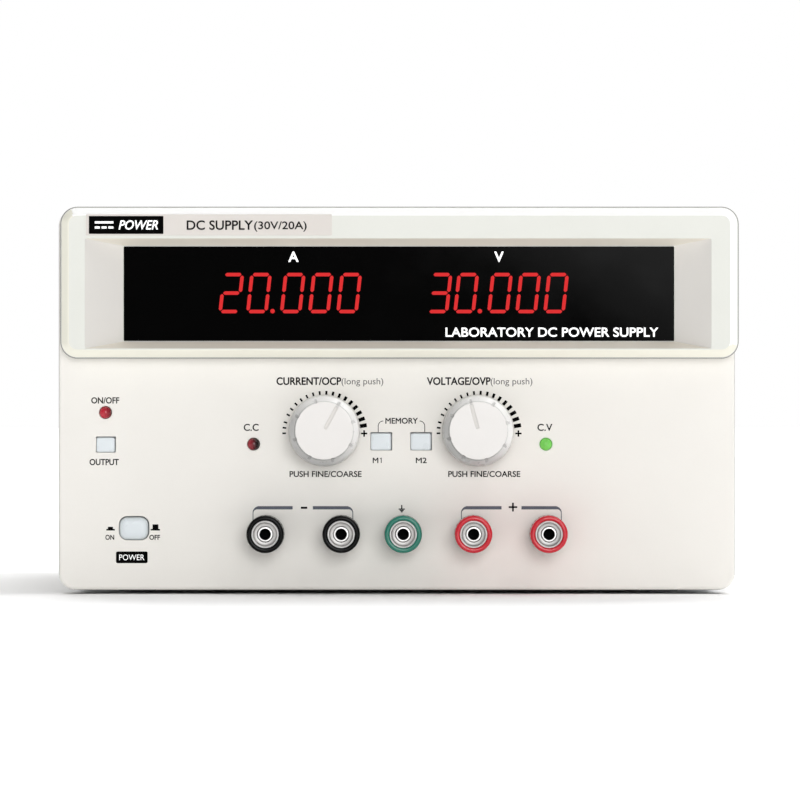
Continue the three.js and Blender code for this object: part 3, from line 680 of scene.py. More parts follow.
def window_lettering():
    shape = Shape()
    write(shape, "A", 3.7, -39.35, 127.5, WINDOW_FACE, weight=0.13)
    write(shape, "V", 3.7, 37.9, 127.5, WINDOW_FACE, weight=0.13)
    write(shape, "LABORATORY DC POWER SUPPLY", 3.3, 57.8, 99.35, WINDOW_FACE, 79.8, 0.09)
    piece("window_lettering", shape, WHITE_INK_PAINTED_GLOW, body="case")


# ---------- the rating strip ----------
LABEL_BACK = HOOD_FACE - 0.05
LABEL_FACE = LABEL_BACK - 0.28
BADGE_FACE = LABEL_FACE - 0.12


def rating_label():
    shape = Shape()
    shape.slab(rect(92.1, 7.9, 0.35, -70.85, 141.1, 4), LABEL_FACE, LABEL_BACK, 0.08, 0.03, 2)
    piece("rating_label_film", shape, FINISHES["label_film"], "rating_label")
    badge = Shape()
    badge.slab(rect(27.9, 6.7, 0.2, -101.85, 141.05, 3), BADGE_FACE, LABEL_FACE, 0.05, 0.02, 2)
    piece("badge_plate", badge, INK_BLACK, body="case")
    mark = Shape()
    for x, width, z in ((0, 7.0, 142.0), (-2.55, 1.9, 140.1), (0, 1.9, 140.1), (2.55, 1.9, 140.1)):
        left = x - 110.1 - width / 2
        mark.box(left, left + width, z - 0.42, z + 0.42, BADGE_FACE - INK_THICK, BADGE_FACE, 0.01)
    write(mark, "POWER", 3.3, -97.3, 139.4, BADGE_FACE, 14.6, 0.08, slant=0.25)
    piece("badge_mark", mark, WHITE_INK_PAINTED_GLOW, body="case")
    rating = Shape()
    write(rating, "DC SUPPLY", 3.35, -66.8, 139.3, LABEL_FACE, 24.6, 0.09)
    write(rating, "(30V/20A)", 2.8, -44.1, 139.5, LABEL_FACE, 19.6, 0.06)
    piece("rating_lettering", rating, INK, body="case")


# ---------- printed legends on the panel ----------
# words, height of a capital, middle, foot, width, weight
CAPTIONS = (("ON/OFF", 2.2, -110.2, 74.25, 10.4, 0.07), ("OUTPUT", 2.2, -110.6, 51.05, 10.9, 0.07),
            ("ON", 1.75, -108.5, 22.95, 3.2, 0.06), ("OFF", 1.75, -91.6, 22.95, 3.9, 0.06),
            ("C.C", 2.5, -55.3, 63.95, 5.5, 0.06), ("C.V", 2.5, 55.2, 63.95, 5.5, 0.06),
            ("CURRENT/OCP", 2.7, -33.6, 81.25, 24.2, 0.1), ("VOLTAGE/OVP", 2.7, 22.8, 81.25, 23.8, 0.1),
            ("PUSH FINE/COARSE", 2.1, -27.3, 46.6, 27.0, 0.06),
            ("PUSH FINE/COARSE", 2.1, 32.4, 46.6, 27.0, 0.06), ("MEMORY", 2.05, 1.3, 66.65, 12.1, 0.06),
            ("M", 1.95, -8.5, 51.8, 2.0, 0.05), ("M2", 1.95, 8.7, 51.8, 4.0, 0.05))
# width, height, middle x, middle z, corner: the power key's two symbols, then minus, plus and earth
MARKS = ((3.2, 0.6, -108.2, 26.7, 0.1), (1.9, 0.9, -108.25, 27.35, 0.1), (3.5, 0.6, -91.35, 26.7, 0.1),
         (2.2, 1.8, -91.3, 27.8, 0.1), (2.4, 0.78, -35.4, 34.95, 0.05), (3.2, 0.66, 43.2, 35.2, 0.05),
         (0.66, 3.3, 43.2, 35.2, 0.05), (2.3, 0.42, 1.35, 34.45, 0.05), (1.5, 0.42, 1.35, 33.95, 0.05),
         (0.7, 0.42, 1.35, 33.45, 0.05))
CORNER_ARC = 1.9
SCALE_RADIUS, SCALE_MARKS = 15, 19


def arc(x, z, side, steps):
    """A quarter turn of a printed line, from straight up at its left (side 1) or right (-1) to level."""
    start = math.pi if side > 0 else 0
    return [(x + CORNER_ARC * (side + math.cos(a)), z + CORNER_ARC * math.sin(a))
            for a in sweep(steps, start, math.pi / 2)]


def scale_marks(shape, x, z):
    """The fan of marks round a knob: short and thin at the left, long and wide at the right."""
    last = SCALE_MARKS - 1
    for i in range(SCALE_MARKS):
        a = math.radians(165.1 + 7.9 * (2 - i) if i < 3 else 153.6 - 9.57 * (i - 3))
        grown = max(0.0, (i / last - 0.45) / 0.55)
        wide, long = 0.62 + 0.1 * i / last + 0.75 * grown ** 1.1, 1.36 + 1.35 * grown ** 1.3
        out, centre = Vector((math.cos(a), math.sin(a))), Vector((x, z - 0.8))
        shape.ribbon([tuple(centre + out * (SCALE_RADIUS + end * long / 2)) for end in (-1, 1)], wide)
    for right, up in ((1.2, 0), (0, 1.2)):
        shape.ribbon([(x + 15.1 + end * right, z - 1.1 + end * up) for end in (-1, 1)], 0.6)


def panel_legends():
    dark = Shape()
    for words, height, x, z, width, weight in CAPTIONS:
        write(dark, words, height, x, z, 0, width, weight)
    dark.ribbon([(-6.35, 51.8), (-6.35, 53.75)], 0.3)
    dark.ribbon([(-6.35, 53.7), (-6.85, 53.35)], 0.24)
    for side, x in ((1, -7.5), (-1, 10.0)):
        dark.ribbon([(x, 63.4)] + arc(x, 65.7, side, 8), 0.28)
    piece("panel_lettering", dark, INK, body="case")

    pale = Shape()
    for x in (-13.45, 42.65):
        write(pale, "(long push)", 2.35, x, 81.4, 0, 15.7)
    piece("panel_lettering_pale", pale, INK_GREY, body="case")

    black = Shape()
    for x in (-27.9, 30.15):
        scale_marks(black, x, 64.0)
    black.slab(rect(11.9, 4.4, 0.6, -100.2, 16.3, 4), -0.05, 0, 0.02, 0.01, 2)
    for width, height, x, z, corner in MARKS:
        black.slab(rect(width, height, corner, x, z, 2), -INK_THICK, 0, 0.01, 0.01, 1)
    black.ribbon([(1.35, 36.0), (1.35, 34.5)], 0.45)
    piece("panel_marks", black, INK_BLACK, body="case")

    white = Shape()
    write(white, "POWER", 2.1, -100.2, 15.25, -0.05, 9.5)
    piece("power_lettering", white, WHITE_INK_PAINTED_GLOW, body="case")

    slate = Shape()
    widths = [0.3] + [0.3 + 0.9 * (i / 9) ** 1.5 for i in range(10)] + [1.25]
    for x, inner, side in ((-54.6, -39.7, 1), (-17.05, -32.1, -1), (23.8, 38.9, 1), (61.4, 46.4, -1)):
        level = [(x + side * CORNER_ARC, 34.95), (inner, 34.95)]
        slate.ribbon([(x, 30.3)] + arc(x, 33.0, side, 9)[:-1] + level, *widths)
    piece("post_brackets", slate, INK_SLATE, body="case")


# ---------- knobs ----------
KNOB_FACE, FACE_RADIUS, FACE_EDGE = -17.0, 10.9, 0.3
NICKS, NICK_HALF, NICK_DEEP = 8, 0.06, 1.0
KNOB_SKIRT = [(10.94, -16.35), (11.1, -16.3), (11.22, -16.42), (11.5, -16.17), (11.8, -15.9), (12.1, -15.63),
              (12.4, -15.36), (12.65, -15.12), (12.85, -14.88), (12.98, -14.6), (13.03, -14.2), (13.06, -13),
              (13.12, -11), (13.2, -8.5), (13.3, -5.5), (13.42, -3.5), (13.5, -2.8), (13.4, -2.4),
              (13.1, -2.2), (7.2, -2.2), (7.0, -2.4), (7.0, -6.2), (3.3, -6.2), (3.3, -14), (0, -14)]


def knob(name, x, z, pointer):
    """A shallow cone with eight short nicks round its shoulder and a sunk pointer line in its face."""
    lean = math.radians(pointer)

    def nicks(angle, depth):
        step = 2 * math.pi / NICKS
        away = (angle - lean + step / 2) % step - step / 2
        across = max(0.0, 1 - (away / NICK_HALF) ** 2)
        into = depth - KNOB_FACE
        return -NICK_DEEP * across * max(0.0, min(1.0, into / 0.15, (1.75 - into) / 0.5))

    shape = Shape()
    shoulder = [(FACE_RADIUS - FACE_EDGE * (1 - math.sin(a)), KNOB_FACE + 0.8 * FACE_EDGE * (1 - math.cos(a)))
                for a in sweep(4)]
    rings = shape.turn(shoulder + KNOB_SKIRT, x, z, 256, nicks)
    shape.index = 1
    line = rect(9.6, 1.25, 0.5, x + 5.6 * math.cos(lean), z + 5.6 * math.sin(lean), 6, lean)
    mouth = shape.pocket(line, KNOB_FACE, KNOB_FACE + 0.5, 0.1, 0.05)
    shape.index = 0
    shape.cap(rings[0], mouth)
    # Faces in the nicks and in the groove round the face get a darker copy of the plastic: painted shade in
    # these hollows.
    for face in shape.bm.faces:
        at = face.calc_center_median()
        across, up = at.x - x, at.z - z
        if face.material_index == 1 or at.y < KNOB_FACE + 0.04:
            continue
        in_nick = nicks(math.atan2(up, across), at.y) < -0.3
        in_seam = 10.6 < math.hypot(across, up) < 11.1 and -16.45 < at.y < -16.2
        face.material_index = 3 if in_nick or in_seam else 2
    # The shoulder is paler than the face, as painted light at the top right, and painted shade darkens it to
    # about half towards the lower left; the darker nick material takes the same painted shade.
    lit_and_shaded_skirt = (Finish(f"{name}_knob_skirt_painted_light_and_shade", srgb(242, 241, 239), 0.3, specular=1.0)
                    .mottle(0.012, 8).fade(x, z, 225, 10, 0.52).polish(0.04, 3).relief((4, 0.003)).material)
    shaded_nick = (Finish(f"{name}_knob_nick_painted_shade", srgb(212, 211, 209), 0.4)
                   .mottle(0.012).fade(x, z, 225, 10, 0.5).polish(0.05).relief((0.35, 0.004)).material)
    finishes = [FINISHES["knob_plastic"], POINTER_GROOVE, lit_and_shaded_skirt, shaded_nick]
    piece(f"{name}_knob_moulding", shape, finishes, f"{name}_knob", crease=40)


# ---------- buttons and lamps ----------
def key(name, x, z, width, height):
    shape = Shape()
    crown = [(-1.15, 0.52)] + fillet(-1, 0.55, 0.6, 1, 5)[1:]
    first, wall = shape.loft(rect(width, height, 0.7, x, z, 5), crown + [(0, 3.8), (1.2, 3.8), (1.2, 5)])
    shape.cap(first)
    shape.cap(wall)
    shape.turn([(0, 4.9), (1.75, 4.9), (1.75, 8.4), (0, 8.4)], x, z, 24)
    piece(f"{name}_key", shape, FINISHES["key_plastic"], f"{name}_button", crease=50)


def power_key():
    x, z, width, height, corner = POWER
    shape = Shape()
    crown = [(-2.6, 0.42), (-1.9, 0.47), (-1.3, 0.58), (-0.85, 0.78), (-0.45, 1.1), (-0.18, 1.5),
             (-0.04, 2.0), (0, 2.6)]
    first, wall = shape.loft(rect(width, height, corner, x, z, 10), crown + [(0, 7), (1.4, 7), (1.4, 8.4)])
    shape.cap(first)
    shape.cap(wall)
    shape.box(x - 2.5, x + 2.5, z - 2.5, z + 2.5, 8.2, 24, 0.2)
    piece("power_key_cap", shape, FINISHES["key_plastic"], "power_button", crease=50)


def lamp(node, x, z):
    shape = Shape()
    dome = [(2.25 * math.sin(a), 0.5 - 2.0 * math.cos(a)) for a in sweep(10)]
    shape.turn(dome + [(2.25, 3.5), (2.9, 3.5), (2.9, 4.8), (2.2, 4.8), (2.2, 13.8), (0, 13.8)], x, z, 48)
    piece(f"{node}_lens", shape, FINISHES[SLOT_OF[node]], node)


# ---------- binding posts ----------
CAP_FRONT, CAP_RADIUS, CAP_LIP = -18.4, 7.0, 0.95
CAP_BACK = [(6.85, -3.5), (6.5, -3.45), (3.2, -3.45), (3.2, -13.8), (5.2, -13.8), (5.2, CAP_FRONT + 0.45),
            (5.3, CAP_FRONT + 0.18), (5.55, CAP_FRONT + 0.02)]
RIM = [(4.5, -17.55), (4.55, -17.85), (4.65, -18.02), (4.85, -18.1), (5.03, -18.03), (5.13, -17.85),
       (5.17, -17.5), (5.17, -13.9), (3.2, -13.9)]
DISH = [(3.0, -14.6), (3.0, -15.9), (3.1, -16.1), (3.6, -16.2), (4.0, -16.35), (4.2, -16.7), (4.35, -17.1),
        (4.5, -17.55)]
STUD_TIP = [(2.12, -16.75), (2.16, -16.9), (2.28, -16.99), (2.45, -17.0), (2.62, -16.95), (2.75, -16.8),
            (2.8, -16.5), (2.8, -13.4)]
STUD_BACK = [(2.8, 7), (5, 7), (5, 11), (2.8, 11), (2.8, 16), (0, 16)]
WASHER = [(3.15, -2.6), (3.15, -3.2), (3.25, -3.3), (5.6, -3.3), (5.75, -3.2), (5.8, -3.0), (5.8, -2.6),
          (5.7, -2.5), (3.25, -2.5), (3.15, -2.6)]
COLLAR = [(3.15, 3.5), (3.15, -2.2), (3.35, -2.4), (6.35, -2.4), (6.55, -2.2), (6.55, 3.5), (3.15, 3.5)]


FLUTES, FLUTE_DEEP, FLUTE_FRONT, FLUTE_BACK = 24, 0.3, -14.6, -4.4


def flutes(angle, depth):
    """The cut of the flutes round a cap, which runs out towards both ends."""
    along = max(0.0, min(1.0, (depth - FLUTE_FRONT) / 0.8, (FLUTE_BACK - depth) / 0.8))
    return -FLUTE_DEEP * along * (0.5 + 0.5 * math.cos(FLUTES * angle)) ** 2


def post(name, x):
    cap = Shape()
    lip = [(CAP_RADIUS + grow, depth) for grow, depth in fillet(-1, CAP_LIP, CAP_FRONT, 1, 7)]
    side = [(CAP_RADIUS, depth) for depth in (-16.6, -15.6, -15.0, -14.5, -10, -5.3, -4.8, -4.3, -3.8)]
    cap.turn(lip + side + CAP_BACK + lip[:1], x, POST_Z, 192, flutes)
    piece(f"{name}_cap_moulding", cap, FINISHES[SLOT_OF[f"{name}_cap"]], f"{name}_cap", crease=40)

    insert = Shape()
    # The insert's rim takes the painted-highlight metal and its dish the painted-shade metal.
    bright = insert.turn(RIM, x, POST_Z, 80)
    insert.index = 1
    dull = insert.turn(RIM[-1:] + DISH, x, POST_Z, 80)
    insert.bridge(bright[0], dull[-1])
    piece(f"{name}_insert", insert, [RIM_PAINTED_HIGHLIGHT, DISH_PAINTED_SHADE], body=BODY_OF[f"{name}_cap"])

    # The stud's outside takes the painted-highlight metal too.
    metal = Shape()
    threads = [p for k in range(11) for p in ((2.8, k - 13.0), (2.62, k - 12.5))]
    outside = metal.turn(STUD_TIP + threads + STUD_BACK, x, POST_Z)
    metal.index = 1
    bore = metal.turn([(2.1, -16.5), (2.05, -15), (2.0, 5), (0, 5)], x, POST_Z)
    metal.index = 0
    metal.bridge(bore[0], outside[0])
    piece(f"{name}_stud_metal", metal, [RIM_PAINTED_HIGHLIGHT, SHADOW_METAL], f"{name}_stud")

    washer = Shape()
    washer.turn(WASHER, x, POST_Z)
    piece(f"{name}_washer_metal", washer, FINISHES["post_nickel"], f"{name}_washer")


def terminal_insulator():
    shape = Shape()
    faces = [(0, 3.3), (0, 6.3)]
    for x in POSTS.values():
        shape.turn(COLLAR, x, POST_Z, 48)
    mouths, ends = zip(*[shape.loft(circle(3.15, x, POST_Z, 32), faces) for x in POSTS.values()])
    first, last = shape.loft(rect(127, 18, 1.5, 3.5, POST_Z, 4), faces)
    shape.cap(first, *mouths)
    shape.cap(last, *ends)
    piece("terminal_insulator_moulding", shape, FINISHES["black_plastic"], "terminal_insulator")


front_panel()
display_hood()
display_window()
readings()
window_lettering()
rating_label()
panel_legends()
for name, (x, z, pointer) in KNOBS.items():
    knob(name, x, z, pointer)
for name, spot in KEYS.items():
    key(name, *spot)
power_key()
for node, spot in LAMPS.items():
    lamp(node, *spot)
for name, x in POSTS.items():
    post(name, x)
terminal_insulator()


# ---------- case ----------
(_, CASE_FRONT, SKIRT), (CASE_HALF, CASE_REAR, CASE_TOP) = extent("top_cover")
TRAY_FOOT = extent("bottom_tray")[0][2]
SHEET, BEND, PLATE = 1.2, 4.0, 1.5
VENT_PITCH, VENT_COUNT, VENT_START, VENT_WIDTH, VENT_EDGE = 11, 9, 114, 4, 0.25
VENT_ROWS = [CASE_REAR - VENT_START + VENT_PITCH * i for i in range(VENT_COUNT)]
SIDE_VENT, SIDE_VENT_Z, TOP_VENT, TOP_VENT_X = 38, 59, 76, 62
COVER_SCREWS, TRAY_SCREWS = (40, 156, 272), ((110, 60), (110, 200), (60, 280))
SCREWS = Shape()


def upright(u, v, w):
    """Drawn as it stands: u to the right, v back, w up."""
    return u, v, w


def left_side(u, v, w):
    """Seen from the left: u up, v back, w into the case."""
    return w - CASE_HALF, v, u


def right_side(u, v, w):
    return CASE_HALF - w, v, u


def screw(place, u, v, radius=2.9, height=1.5):
    """A pan-head cross-recess screw standing on w = 0, its head towards -w."""
    SCREWS.place = place
    dome = [(radius * 0.36 * (math.cos(a) - 1), -height * math.sin(a)) for a in sweep(6)]
    foot, rim = SCREWS.loft(circle(radius, u, v, 40), [(0, 0.4)] + dome)
    arm, half = radius * 0.56, radius * 0.13
    quarter = [(half, half), (half, arm), (-half, arm)]
    turns = ((1, 0), (0, 1), (-1, 0), (0, -1))
    cross = [(a * c - b * s, a * s + b * c) for c, s in turns for a, b in quarter]
    mouth = SCREWS.ring([(u + a, v + b) for a, b in cross], -height)
    floor = SCREWS.ring([(u + a * 0.6, v + b * 0.6) for a, b in cross], 0.1)
    SCREWS.bridge(mouth, floor)
    SCREWS.cap(floor)
    crown = SCREWS.ring(circle(radius * 0.62, u, v, 40)(), -height)
    SCREWS.bridge(rim, crown)
    SCREWS.cap(crown, mouth)
    SCREWS.cap(foot)


def top_cover():
    """A sheet bent over the top and both sides, with rows of vents behind."""
    shape = Shape(upright)
    side_u, top_u = CASE_TOP - BEND, CASE_HALF - BEND
    strip = 2.0

    def bend(inset):
        """From a flat strip of the top, round the bend on the right, to a flat strip of the side."""
        radius = BEND - inset
        curve = [(top_u + radius * math.sin(a), side_u + radius * math.cos(a)) for a in sweep(10)]
        return [(top_u - strip, CASE_TOP - inset)] + curve + [(CASE_HALF - inset, side_u - strip)]

    side_vents = [(rect(SIDE_VENT, VENT_WIDTH, 1.9, SIDE_VENT_Z, y, 5), VENT_EDGE) for y in VENT_ROWS]
    top_vents = [(rect(TOP_VENT, VENT_WIDTH, 1.9, side * TOP_VENT_X, y, 5), VENT_EDGE)
                 for side in (-1, 1) for y in VENT_ROWS]
    walls = ((left_side, SKIRT, side_u - strip, side_vents),
             (lambda u, v, w: (u, v, CASE_TOP - w), strip - top_u, top_u - strip, top_vents),
             (right_side, SKIRT, side_u - strip, side_vents))
    for place, u0, u1, vents in walls:
        shape.place = place
        corners = [(u0, CASE_FRONT), (u1, CASE_FRONT), (u1, CASE_REAR), (u0, CASE_REAR)]
        mouths, ends = shape.pierce(vents, SHEET, 3)
        shape.cap(shape.ring(corners, 0), *mouths)
        shape.cap(shape.ring(corners, SHEET), *ends)
    shape.place = upright
    for inset in (0, SHEET):
        for side in (-1, 1):
            shape.sheet(*([(side * x, y, z) for x, z in bend(inset)] for y in (CASE_FRONT, CASE_REAR)))

    def section(inset, y):
        right = bend(inset) + [(CASE_HALF - inset, SKIRT)]
        return [(x, y, z) for x, z in [(-x, z) for x, z in reversed(right)] + right]

    for y in (CASE_FRONT, CASE_REAR):
        shape.sheet(section(0, y), section(SHEET, y))
    for end in (0, -1):
        shape.sheet(*([section(inset, y)[end] for y in (CASE_FRONT, CASE_REAR)] for inset in (0, SHEET)))
    piece("top_cover_sheet", shape, FINISHES["case_paint"], "top_cover", crease=12)
    for place in (left_side, right_side):
        for y in COVER_SCREWS:
            screw(place, SKIRT + 9, y, 3.4, 1.8)


def feet():
    for end in ("front", "rear"):
        for side in ("left", "right"):
            node = f"foot_{end}_{side}"
            (left, near, _), (right, far, _) = extent(node)
            x, y = (left + right) / 2, (near + far) / 2
            shape = Shape(upright)
            profile = [(0, 1.6), (3.0, 1.6), (3.0, 0.25), (3.2, 0.0), (6.9, 0.0), (7.3, 0.12), (7.6, 0.5),
                       (8.45, 4.0), (8.5, 4.7), (0, 4.7)]
            shape.turn([(radius, BENCH + height) for radius, height in profile], x, y, 56)
            piece(f"{node}_rubber", shape, FINISHES["foot_rubber"], node)
            screw(lambda u, v, w: (u, v, BENCH + 1.7 + w), x, y, 2.4, 1.2)


# ---------- rear panel ----------
REAR_PLATE = extent("rear_panel")[1][1]
FAN, FAN_BACK = middle("fan_frame"), extent("fan_frame")[1][1]
FAN_BORE, FAN_SCREW, FAN_DEPTH = 38, 35.75, 25
BLADES, BLADE_ROOT, BLADE_TIP = 7, 16.6, 36.3
GUARD_RINGS, WIRE = (9, 15, 21, 27, 33, 38.5), 0.75
INLET, SELECTOR = middle("mains_inlet"), middle("voltage_selector")


def rear_place(y):
    """Seen from behind: w runs into the case from depth y."""
    return lambda u, v, w: (u, y - w, v)


def write_rear(shape, words, height, x, z):
    """Lettering on the rear panel, read from behind."""
    front = Shape()
    write(front, words, height, 0, 0, 0)
    made = {v: shape.bm.verts.new((x - v.co.x, REAR_PLATE - v.co.y, z + v.co.z)) for v in front.bm.verts}
    for face in front.bm.faces:
        shape.face([made[v] for v in face.verts])
    front.bm.free()


def rear_panel():
    shape = Shape(rear_place(REAR_PLATE))
    gap = SHEET + 0.2
    top, half, corner = CASE_TOP - gap, CASE_HALF - gap, BEND - gap
    right = [(half, TRAY_FOOT)]
    right += [(half - corner * (1 - math.cos(a)), top - corner * (1 - math.sin(a))) for a in sweep(6)]
    outline = polygon(right + [(-x, z) for x, z in reversed(right)])
    holes = [circle(FAN_BORE, *FAN, 96)]
    holes += [rect(27.4, 38.4, 0.5, *INLET, 3), rect(18.4, 12.4, 0.3, *SELECTOR, 3)]
    holes += [rect(3, 50, 1.45, 5.5 + i * 8, 83, 6) for i in range(6)]
    mouths, ends = shape.pierce([(hole, VENT_EDGE) for hole in holes], PLATE, 3)
    rim, back = shape.loft(outline, [(-0.2, 0), (0, 0.2), (0, PLATE)])
    shape.cap(rim, *mouths)
    shape.cap(back, *ends)
    piece("rear_panel_plate", shape, FINISHES["case_paint"], "rear_panel", crease=12)
    for x in (-114, 0, 114):
        for z in (20, 132):
            screw(rear_place(REAR_PLATE), x, z)
    words = Shape()
    write_rear(words, "AC INPUT", 3.2, INLET[0], 27.5)
    write_rear(words, "FUSE", 2.6, 66.5, 65.6)
    write_rear(words, "230V   115V", 2.6, SELECTOR[0], 109.0)
    piece("rear_lettering", words, INK, body="case")


# ---------- fan ----------
def fan_frame():
    x, z = FAN
    shape = Shape(rear_place(FAN_BACK))
    bores = [circle(FAN_BORE, x, z, 96)]
    bores += [circle(2.15, x + sx * FAN_SCREW, z + sz * FAN_SCREW, 20) for sx in (-1, 1) for sz in (-1, 1)]
    for start, end in ((0, 4), (FAN_DEPTH - 4, FAN_DEPTH)):
        mouths, ends = zip(*[shape.loft(bore, [(0.3, start), (0, start + 0.3), (0, end)]) for bore in bores])
        edges = fillet(-1, 0.5, start, 1, 3) + fillet(-1, 0.5, end, -1, 3)[::-1]
        rim, back = shape.loft(rect(80, 80, 4.5, x, z, 8), edges)
        shape.cap(rim, *mouths)
        shape.cap(back, *ends)
    front, back = 3.5, FAN_DEPTH - 3.5
    duct = [(FAN_BORE, front), (39.6, front), (39.6, back), (FAN_BORE, back), (FAN_BORE, front)]
    shape.turn(duct, x, z, 96)
    shape.turn([(0, FAN_DEPTH), (15.5, FAN_DEPTH), (16, FAN_DEPTH - 0.5), (16, 20), (0, 20)], x, z)
    for a in sweep(3, math.pi / 4, math.pi * 7 / 4):
        c, s = math.cos(a), math.sin(a)
        arm = ((15, -1.8), (38.5, -1.8), (38.5, 1.8), (15, 1.8))
        arm = [(x + out * c - off * s, z + out * s + off * c) for out, off in arm]
        shape.prism(arm, FAN_DEPTH - 3, FAN_DEPTH)
    piece("fan_frame_moulding", shape, FINISHES["black_plastic"], "fan_frame")


def blade(rotor, turned):
    """One fan blade: two curved sheets, joined round their edges."""
    spans, chords = 8, 10
    x, z = FAN

    def point(i, j, side):
        out, along = i / spans, j / chords
        r = BLADE_ROOT + (BLADE_TIP - BLADE_ROOT) * out
        thin = math.sin(math.pi * min(max(along, 0.06), 0.94)) ** 0.5
        pitch = 15.5 / r * (1.25 - 0.25 * out)
        a = turned + 0.16 * out ** 1.5 + pitch * (along - 0.5) + side * thin / r
        rise = 1.2 + 12.6 * along + 0.48 * math.sin(math.pi * along)
        return rotor.place(x + r * math.cos(a), z + r * math.sin(a), rise)

    edges = []
    for side in (-0.7, 0.7):
        rows = [[rotor.bm.verts.new(point(i, j, side)) for j in range(chords + 1)] for i in range(spans + 1)]
        for near, far in zip(rows, rows[1:]):
            for j in range(chords):
                rotor.face((near[j], far[j], far[j + 1], near[j + 1]))
        there, back = rows[0] + [row[-1] for row in rows[1:]], [row[0] for row in rows[-2:0:-1]]
        edges.append(there + rows[-1][-2::-1] + back)
    rotor.bridge(*edges)


def fan_rotor():
    shape = Shape(rear_place(FAN_BACK - 2))
    hub = [(0, 0), (9, 0), (9.2, 0.15), (9.4, 0), (15.6, 0), (16.4, 0.3), (16.9, 0.9), (17, 1.6), (17, 15),
           (0, 15)]
    shape.turn(hub, *FAN, 72)
    for a in around(BLADES):
        blade(shape, a)
    piece("fan_rotor_moulding", shape, FINISHES["black_plastic"], "fan_rotor")


def fan_guard():
    """Rings of wire on four legs, each bent down to an eye under a screw."""
    x, z = FAN
    shape = Shape()

    def hoop(cx, cz, radius, above, wire, count):
        loop = circle(radius, cx, cz, count)()
        shape.tube([(u, REAR_PLATE + above, v) for u, v in loop], wire, closed=True)

    for radius in GUARD_RINGS:
        hoop(x, z, radius, 4.0, WIRE, 72)
    leg = ((2.2, 1.0), (3.4, 1.6), (5.0, 3.4), (6.4, 4.1), (12, 4.2), (28.5, 4.2))
    for sx in (-1, 1):
        for sz in (-1, 1):
            cx, cz = x + sx * FAN_SCREW, z + sz * FAN_SCREW
            hoop(cx, cz, 3.2, 0.95, 0.72, 24)
            path = [(cx - sx * inward, REAR_PLATE + above, cz - sz * inward) for inward, above in leg]
            shape.tube(path, WIRE)
            screw(rear_place(REAR_PLATE + 1.6), cx, cz, 2.9, 1.4)
    piece("fan_guard_wire", shape, FINISHES["bright_wire"], "fan_guard")


# ---------- mains inlet and voltage selector ----------
def flanged(shape, node, mouths, flange, edge, flange_depth, neck, neck_depth):
    """A fitting with a rounded flange outside the panel and a narrower neck through it."""
    rim, foot = shape.loft(flange, fillet(-1, edge, 0) + [(0, flange_depth)])
    root, end = shape.loft(neck, [(0, flange_depth), (0, neck_depth)])
    shape.bridge(foot, root)
    shape.cap(rim, *mouths)
    shape.cap(end)
    piece(f"{node}_moulding", shape, FINISHES["black_plastic"], node)


def block(place, node, finish, outline, steps, hole):
    """A block lofted through steps, with a pocket in its front."""
    shape = Shape(place)
    mouth = shape.pocket(*hole)
    rim, end = shape.loft(outline, steps)
    shape.cap(rim, mouth)
    shape.cap(end)
    piece(f"{node}_moulding", shape, FINISHES[finish], node)


def mains_inlet():
    x, z = INLET
    back, socket_z, drawer_z = REAR_PLATE + 3, z - 8, z + 11.5
    inlet = Shape(rear_place(back))
    half_socket = [(12, -8), (12, 3.6), (7.4, 8)]
    socket = half_socket + [(-u, v) for u, v in reversed(half_socket)]
    mouths = [inlet.pocket(polygon([(x + u, socket_z + v) for u, v in socket]), 0, 16, 0.5),
              inlet.pocket(rect(20.6, 9.6, 0.3, x, drawer_z, 3), 0, 21, 0.3)]
    flanged(inlet, "mains_inlet", mouths, rect(31, 42, 2.2, x, z, 6), 0.7, 2.8,
            rect(27, 38, 0.6, x, z, 6), 27)
    pins = Shape(rear_place(back))
    for u, v in ((-7, -0.5), (7, -0.5), (0, 4)):
        pins.box(x + u - 1, x + u + 1, socket_z + v - 2, socket_z + v + 2, 3.2, 15.9, 0.35)
    piece("mains_inlet_pins", pins, BRASS, body="case")
    grip = rect(9, 3.2, 1.2, x, drawer_z + 0.6, 5)
    block(rear_place(back + 0.8), "fuse_drawer", "black_plastic", rect(20, 9, 0.8, x, drawer_z, 4),
          fillet(-1, 0.6, 0) + [(0, 20.8)], (grip, 0, 2.0, 0.3))


def voltage_selector():
    x, z = SELECTOR
    selector = Shape(rear_place(REAR_PLATE + 1.6))
    mouths = [selector.pocket(rect(12.4, 5.6, 0.3, x, z, 3), 0, 4.6, 0.25)]
    flanged(selector, "voltage_selector", mouths, rect(30, 16, 1.6, x, z, 6), 0.45, 1.4,
            rect(18, 12, 0.4, x, z, 6), 13.6)
    for side in (-12, 12):
        screw(rear_place(REAR_PLATE + 1.6), x + side, z, 1.7, 0.8)
    slot = rect(1.1, 3.6, 0.3, x - 3, z, 3)
    block(rear_place(REAR_PLATE + 2.2), "selector_slider", "selector_red", rect(5.8, 5.0, 0.35, x - 3, z, 3),
          fillet(-1, 0.3, 0, 1, 3) + [(0, 4.9)], (slot, 0, 0.9, 0.1))


def capacitors():
    for name in ("filter_capacitor_1", "filter_capacitor_2"):
        (left, near, base), (right, far, top) = extent(name)
        shape = Shape(upright)
        can = [(0, base), (16.6, base), (17, base + 0.4), (17, base + 3), (16.2, base + 4),
               (16.2, base + 4.8), (17, base + 5.8), (17, top - 1), (16.6, top - 0.3), (15.6, top),
               (14.4, top - 0.1), (14.2, top - 0.6), (0, top - 0.6)]
        shape.turn(can, (left + right) / 2, (near + far) / 2)
        piece(f"{name}_can", shape, FINISHES["capacitor_sleeve"], name)


